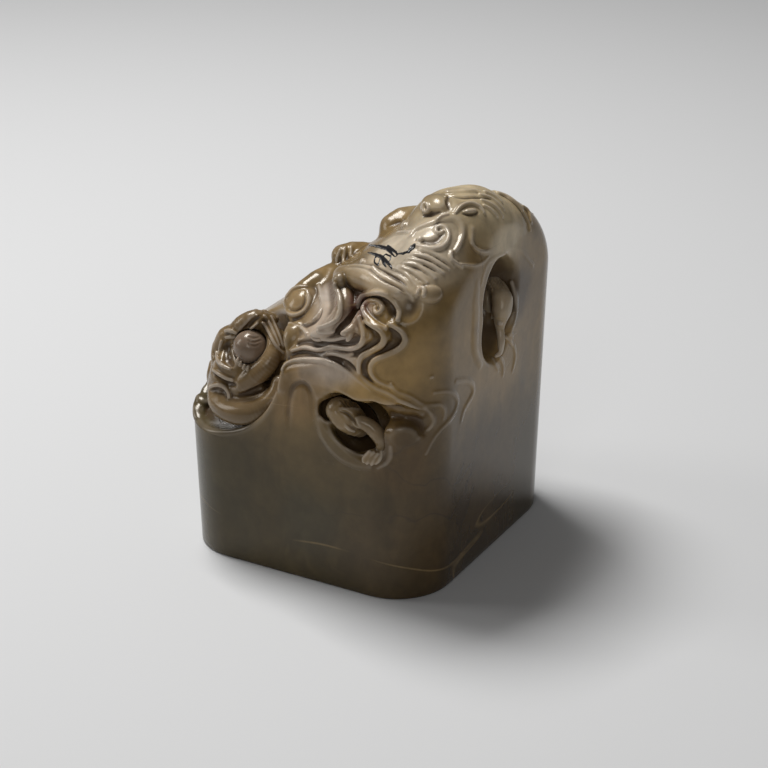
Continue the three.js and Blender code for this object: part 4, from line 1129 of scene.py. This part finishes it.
BEAST_CREST = [([(243, 335), (249, 328.5), (256, 322), (262, 318)], (0.4, 0.6, 0.6, 0.4), 0.15, 0.35)]
carve(beast, BEAST_CREST)
BEAST_HAIR = [
    ([(264, 322), (273, 333), (279, 345), (285, 355)], (1.6, 1.6, 1.5, 1.2), (-2.5, -1, 0.2, 1), 0.8),
]
tube(beast, PEARL_CENTRE, BEAST_HAIR)
BEAST_HAIR_ENDS = ((249, 315), (256, 313), (264, 313.5), (272, 316))
for px, py in BEAST_HAIR_ENDS:
    tube_line(beast, PEARL_CENTRE, [(px, py), (px + 2, py + 3)], (0.9, 1.1), -3, 0.5)
BEAST_HAIR_LINES = [
    [(257, 316), (265, 325), (271, 336), (276, 347), (283, 353)],
    [(264, 316), (270, 325), (275, 336), (279, 346)],
    [(271, 317), (275, 327), (279, 337), (283, 347)],
]
carve_all(beast, BEAST_HAIR_LINES, (0.25, 0.4, 0.4, 0.25), 0.1, 0.25)
BEAST_JAW_LINES = [
    [(217, 352), (218, 360), (223, 366), (230, 369)],
    [(222, 341), (221, 348), (219, 355)],
]
carve_all(beast, BEAST_JAW_LINES, (0.35, 0.45, 0.35), 0.15, 0.3)
BEAST_CREST_GROOVES = [
    [(245, 330), (252, 324), (260, 320), (267, 320)],
    [(240, 334), (247, 327), (255, 319), (262, 316)],
]
carve_all(beast, BEAST_CREST_GROOVES, (0.4, 0.5, 0.5, 0.35), 0.0, 0.35, cut=True)
BEAST_TEETH = ((237.5, 361), (240, 365), (243.5, 368), (247.5, 369.5))
for px, py in BEAST_TEETH:
    tube_line(beast, PEARL_CENTRE, [(px, py), (px + 1, py - 3.2)], (0.42, 0.3), 2.4, 0.15)
BEAST_COIL_GROOVE = [
    ([(240, 395), (252, 392.5), (264, 388), (273, 380.5), (279, 371)], (0.4, 0.8, 0.9, 0.8, 0.4), 0.2),
]
carve(beast, BEAST_COIL_GROOVE, cut=True)
beast.ball(PEARL_CENTRE, PEARL_RADIUS + PEARL_GAP, 0.25, cut=True)
within_block(beast)
beast_stone = soapstone("brown_soapstone", BEAST_BROWN, 0.65)
place_piece(clay_mesh(beast, "ledge_beast_stone"), "ledge_beast", "seal", beast_stone)


# Pearl
# The ball is cut from the same stone and worked loose in the jaws, with a few fine folds left on
# its upper side.

PEARL_ROOM = 4.5
PEARL_CREAM = (0.22, 0.155, 0.12, 1)

pearl = Clay(PEARL_CENTRE - PEARL_ROOM, PEARL_CENTRE + PEARL_ROOM, FIGURE_STEP)
pearl.ball(PEARL_CENTRE, PEARL_RADIUS, 0)
PEARL_FOLDS = [
    [(249, 336), (254, 339), (259, 337)],
    [(248, 340), (254, 343), (261, 340)],
    [(249, 344), (254, 346.5), (260, 344)],
]
carve_all(pearl, PEARL_FOLDS, (0.15, 0.22, 0.15), 0.1, 0.2, cut=True)
pearl_stone = soapstone("pale_soapstone", PEARL_CREAM, 0.7, glow=0.15)
place_piece(clay_mesh(pearl, "pearl_stone"), "mouth_pearl", "pearl", pearl_stone)


# Low cave dragon
# A small dragon's coiled back, cut from the brown stone inside, fills the low cave, with one
# foreleg reaching down to its toes.

LOW_DRAGON_BOX = ((0, -35, 28), (29, -19, 50))
LOW_CAVE_BROWN = (0.225, 0.155, 0.078, 1)

low_dragon = Clay(*LOW_DRAGON_BOX, FIGURE_STEP, FORM_REACH)
LOW_DRAGON_LIMBS = [
    ([(339, 410), (346, 415), (354, 422), (360, 428)], (2.7, 3.3, 2.9, 1.9), (-1, -0.6, -1, -1.8), 0.7),
    ([(351, 421), (358, 421.5), (366, 424), (374, 430), (381, 439), (383, 448)],
     (1, 1.4, 1.5, 1.6, 1.5, 1.2), (1, 1.7, 2, 2, 1.7, 1.2), 0.4),
    ([(383, 448), (379, 455), (371, 456), (366, 459)], (1.3, 1.5, 1.4, 0.9), (1.1, 1, 0.9, 0.5), 0.5),
]
tube(low_dragon, LOW_PLACE, LOW_DRAGON_LIMBS)
LOW_DRAGON_SPINE = [([(336, 413), (341, 420), (347, 427), (354, 431)], (0.3, 0.5, 0.5, 0.3), 0.1, 0.25)]
carve(low_dragon, LOW_DRAGON_SPINE)
LOW_DRAGON_GROOVE = [
    ([(341, 411), (347, 413), (353, 419), (357, 426)], (0.3, 0.45, 0.45, 0.3), 0.15, 0.25),
]
carve(low_dragon, LOW_DRAGON_GROOVE, cut=True)
LOW_DRAGON_TOES = [
    [(370, 452), (366, 456), (363, 462)],
    [(374, 453), (369, 458), (367, 464.5)],
    [(378, 454), (373, 460), (371.5, 466)],
    [(382, 452), (380, 458), (376, 463)],
]
carve_all(low_dragon, LOW_DRAGON_TOES, (0.35, 0.5, 0.4), 0.1, 0.3)
LOW_SCALE_COLUMNS = range(341, 364, 3)
LOW_SCALE_ROWS = (406.5, 400)
for left, right in (LOW_SCALE_ROWS, LOW_SCALE_ROWS[::-1]):
    scales = [[(px, left), (px + 5, right)] for px in LOW_SCALE_COLUMNS]
    carve_all(low_dragon, scales, 0.28, 0.05, 0.1, cut=True)
within_block(low_dragon)
low_stone = soapstone("low_cave_soapstone", LOW_CAVE_BROWN, 0.75)
low_piece = clay_mesh(low_dragon, "low_cave_dragon_stone")
place_piece(low_piece, "low_cave_dragon", "seal", low_stone)


# High cave dragon
# The dragon in the high cave is cut from paler stone. It hangs down from its scaled neck, with one
# leg braced on the lip.

HIGH_DRAGON_BOX = ((20, -9, 42), (34, 14, 68))
HIGH_CAVE_CREAM = (0.42, 0.33, 0.22, 1)

high_dragon = Clay(*HIGH_DRAGON_BOX, FIGURE_STEP, FORM_REACH)
HIGH_DRAGON_LIMBS = [
    ([(489, 278), (494, 283), (500, 291)], (1.3, 1.8, 1.8), (-3.6, -3.4, -3), 0.5),
    ([(499, 290), (502, 299), (502.5, 308), (500.5, 318), (500, 328), (501, 338), (502, 348)],
     (1.7, 2.3, 2.2, 1.5, 0.9, 0.8, 0.9), (-2.8, -2.2, -1.9, -2.2, -2.6, -2.4, -2), 0.5),
    ([(486, 284), (487, 298), (488, 312), (492, 320)], (1.8, 2.3, 2.1, 1.2), (-5.4, -5, -5, -5), 0.8),
    ([(486, 281), (492, 287), (495, 297), (494, 309), (492, 318)], (0.4, 0.55, 0.55, 0.5, 0.3),
     (-2.6, -2.2, -2, -2.3, -3), 0.25),
    ([(496, 356), (502, 352), (508, 346), (511, 340)], (0.4, 0.7, 0.5, 0.3), (-1.8, -2, -2.2, -2.4), 0.3),
]
tube(high_dragon, HIGH_PLACE, HIGH_DRAGON_LIMBS)
HIGH_DRAGON_KNEE = [((500, 323), (0.6, 0.6, 0.5), 0, 0.3)]
dab(high_dragon, HIGH_DRAGON_KNEE)
HIGH_SCALE_COLUMNS = range(484, 500, 3)
HIGH_SCALE_ROWS = ((290, 279), (278, 289))
for left, right in HIGH_SCALE_ROWS:
    scales = [[(px, left), (px + 7, right)] for px in HIGH_SCALE_COLUMNS]
    carve_all(high_dragon, scales, 0.14, 0.05, 0.15, cut=True)
within_block(high_dragon)
high_stone = soapstone("high_cave_soapstone", HIGH_CAVE_CREAM, 0.75)
high_piece = clay_mesh(high_dragon, "high_cave_dragon_stone")
place_piece(high_piece, "high_cave_dragon", "seal", high_stone)


# Dark vein on the forehead
# A black inclusion in the stone is left proud of the surface as branching lines and curls, and is
# polished with the rest.

VEIN = (
    ([(369, 245.3), (374, 245.6), (381, 247), (388, 249), (396, 252)], (0.25, 0.4, 0.5, 0.45, 0.3)),
    ([(384, 247), (390, 252), (395, 257)], (0.35, 0.35, 0.2)),
    ([(388, 246), (393, 250), (397, 254), (396, 257)], (0.3, 0.35, 0.3, 0.2)),
    ([(398, 254), (406, 253), (412, 249.5), (415.5, 244.5), (411, 247), (408, 251)],
     (0.25, 0.35, 0.35, 0.3, 0.25, 0.2)),
    ([(368, 252.6), (374, 254), (381, 257), (387, 262), (392, 268)], (0.2, 0.4, 0.5, 0.4, 0.25)),
    ([(376, 256), (374.5, 262), (378, 265), (379.5, 260)], (0.3, 0.25, 0.25, 0.2)),
    ([(382, 258), (386, 254.5), (391, 257), (390, 261)], (0.3, 0.25, 0.25, 0.2)),
    ([(382, 259), (384, 264), (387, 268)], (0.3, 0.3, 0.2)),
)
VEIN_SINK = 0.12
VEIN_SPACING = 0.3
VEIN_STEP = 0.75 * FIGURE_STEP
VEIN_FILLET = 0.1
VEIN_BOX = ((-8, -24, 60), (22, 2, 78))
VEIN_BLACK = (0.012, 0.011, 0.012, 1)

vein = Clay(*VEIN_BOX, VEIN_STEP)
for line, radii in VEIN:
    path = knob.hit(smooth_path(line, VEIN_SPACING * PIXELS_PER_MM), -VEIN_SINK)
    vein.strand(path, radii, VEIN_FILLET)
vein_black = fresh_material("black_inclusion", {"Base Color": VEIN_BLACK, "Roughness": 0.2})
place_piece(clay_mesh(vein, "dark_vein"), "dark_tendrils", "seal", vein_black)


# Column
# The plain shaft is the same block, ground flat and polished, with its foot edge just broken. The
# printing face under it is sunk round a square fret.

FOOT_CHAMFER = 0.5
CORNER_STEPS = 24
SHAFT_RINGS = 16
SIDE_STEPS = 16
PRINT_DEPTH = 0.8
PRINT_BORDER = 3.5
FRET_LINE = 2.2
FRET_PITCH = 5
FRET_ROOT = 0.05
FIRST_SHAFT_RING = 3


def outline(z, inset=0.0):
    """The column's outline at a height, as points in order round it."""
    arcs = []
    for quarter, (sx, sy) in enumerate(((1, 1), (-1, 1), (-1, -1), (1, -1))):
        centre = np.array([sx * (HALF_LENGTH - CORNER_RADIUS), sy * (HALF_WIDTH - CORNER_RADIUS)])
        angle = np.linspace(quarter, quarter + 1, CORNER_STEPS + 1) * math.pi / 2
        arcs.append(centre + (CORNER_RADIUS - inset) * np.column_stack([np.cos(angle), np.sin(angle)]))
    sides = [np.linspace(a[-1], b[0], SIDE_STEPS + 1)[1:-1] for a, b in zip(arcs, arcs[1:] + arcs[:1])]
    return np.vstack([run for pair in zip(arcs, sides) for run in pair]) * (1 + FLARE_SLOPE * z)


levels = [(0, FOOT_CHAMFER), (0.12, 0.18), (FOOT_CHAMFER, 0)]
levels += [(z, 0) for z in np.linspace(1.5, COLUMN_HEIGHT, SHAFT_RINGS)]
field_edge = outline(0) * (1 - PRINT_BORDER / HALF_WIDTH)
rings = [(field_edge, PRINT_DEPTH), (field_edge, 0)] + [(outline(z, inset), z) for z, inset in levels]
rings = [np.column_stack([points, np.full(len(points), z)]) for points, z in rings]
ring_size = len(rings[0])
top_start = (len(rings) - 1) * ring_size
column_faces = [tuple(range(ring_size))[::-1]]
for level in range(0, top_start, ring_size):
    for s in range(ring_size):
        a = level + s
        b = level + (s + 1) % ring_size
        column_faces.append((a, b, b + ring_size, a + ring_size))
column_faces.append(tuple(range(top_start, top_start + ring_size)))
column_points = [tuple(v) for v in np.concatenate(rings) * MM]

# The fret on the printing face: four square spirals, as lands left standing in the sunk field
spiral = [(0, 0)]
for turn in (1, 2):
    inner = turn * FRET_PITCH
    right = HALF_LENGTH - PRINT_BORDER - inner
    top = HALF_WIDTH - PRINT_BORDER - inner
    spiral += [(right, inner - FRET_PITCH), (right, top), (inner, top), (inner, inner)]
half = FRET_LINE / 2
bars = []
for sx, sy in ((1, 1), (-1, 1), (-1, -1), (1, -1)):
    for (x0, y0), (x1, y1) in zip(spiral, spiral[1:]):
        xs = sorted((sx * x0, sx * x1))
        ys = sorted((sy * y0, sy * y1))
        bars.append((xs[0] - half, xs[1] + half, ys[0] - half, ys[1] + half))
edges_x = sorted({round(x, 4) for bar in bars for x in bar[:2]})
edges_y = sorted({round(y, 4) for bar in bars for y in bar[2:]})
cells = {
    (i, j) for i, j in np.ndindex(len(edges_x) - 1, len(edges_y) - 1)
    if any(x0 < (edges_x[i] + edges_x[i + 1]) / 2 < x1 and y0 < (edges_y[j] + edges_y[j + 1]) / 2 < y1
           for x0, x1, y0, y1 in bars)}
land_points = {}


def land_point(i, j, upper):
    """Number of a corner of the fret, on the printing face or at its root."""
    if (i, j, upper) not in land_points:
        land_points[i, j, upper] = len(column_points)
        column_points.append((edges_x[i] * MM, edges_y[j] * MM, (PRINT_DEPTH + FRET_ROOT) * MM * upper))
    return land_points[i, j, upper]


for i, j in sorted(cells):
    square = ((i, j), (i + 1, j), (i + 1, j + 1), (i, j + 1))
    column_faces.append(tuple(land_point(*corner, 1) for corner in square))
    column_faces.append(tuple(land_point(*corner, 0) for corner in square[::-1]))
    for side, beside in enumerate(((i, j - 1), (i + 1, j), (i, j + 1), (i - 1, j))):
        if beside not in cells:
            a, b = square[side], square[(side + 1) % 4]
            column_faces.append((land_point(*a, 0), land_point(*b, 0), land_point(*b, 1), land_point(*a, 1)))
column = mesh_object("stone_shaft", column_points, column_faces, smooth=False)
side_faces = range(ring_size * 2 + 1, ring_size * (len(rings) - 1) + 1)
for number, face in enumerate(column.data.polygons):
    face.use_smooth = number in side_faces
# The edges of the foot and of the sunk field stay crisp
for edge in column.data.edges:
    lower, upper = sorted(v // ring_size for v in edge.vertices)
    edge.use_edge_sharp = lower == upper and lower not in range(FIRST_SHAFT_RING, len(rings) - 1)
place_piece(column, "seal_body", "seal", soapstone("dark_soapstone"))


# Studio
# The seal stands on a plain pale table. One broad soft light hangs above it, with a weaker one to
# the left and another in front.

TABLE_CORNERS = ((-3, -3, 0), (3, -3, 0), (3, 3, 0), (-3, 3, 0))
TABLE_GREY = (0.66, 0.66, 0.66, 1)
SEAL_MIDDLE = Vector((0, 0, 0.05))

floor = mesh_object("table", TABLE_CORNERS, [(0, 1, 2, 3)], smooth=False)
floor.data.materials.append(fresh_material("table", {"Base Color": TABLE_GREY, "Roughness": 0.8}))


def soft_light(name, place, size, power):
    light = bpy.data.lights.new(name, "AREA")
    light.shape = "RECTANGLE"
    light.size, light.size_y = size
    light.energy = power
    lamp = bpy.data.objects.new(name, light)
    bpy.context.scene.collection.objects.link(lamp)
    lamp.location = place
    lamp.rotation_euler = (SEAL_MIDDLE - Vector(place)).to_track_quat("-Z", "Y").to_euler()


soft_light("overhead_light", (-0.3, 0.1, 0.78), (0.32, 0.28), 6.4)
soft_light("left_light", (-0.75, -0.3, 0.4), (0.25, 0.4), 1.3)
soft_light("front_light", (0.35, -0.9, 0.6), (0.5, 0.4), 1.5)
world = bpy.data.worlds.new("studio")
bpy.context.scene.world = world
world.use_nodes = True
world.node_tree.nodes["Background"].inputs["Color"].default_value = (0.9, 0.9, 0.9, 1)
world.node_tree.nodes["Background"].inputs["Strength"].default_value = 0.1
bpy.context.scene.view_settings.view_transform = "Standard"
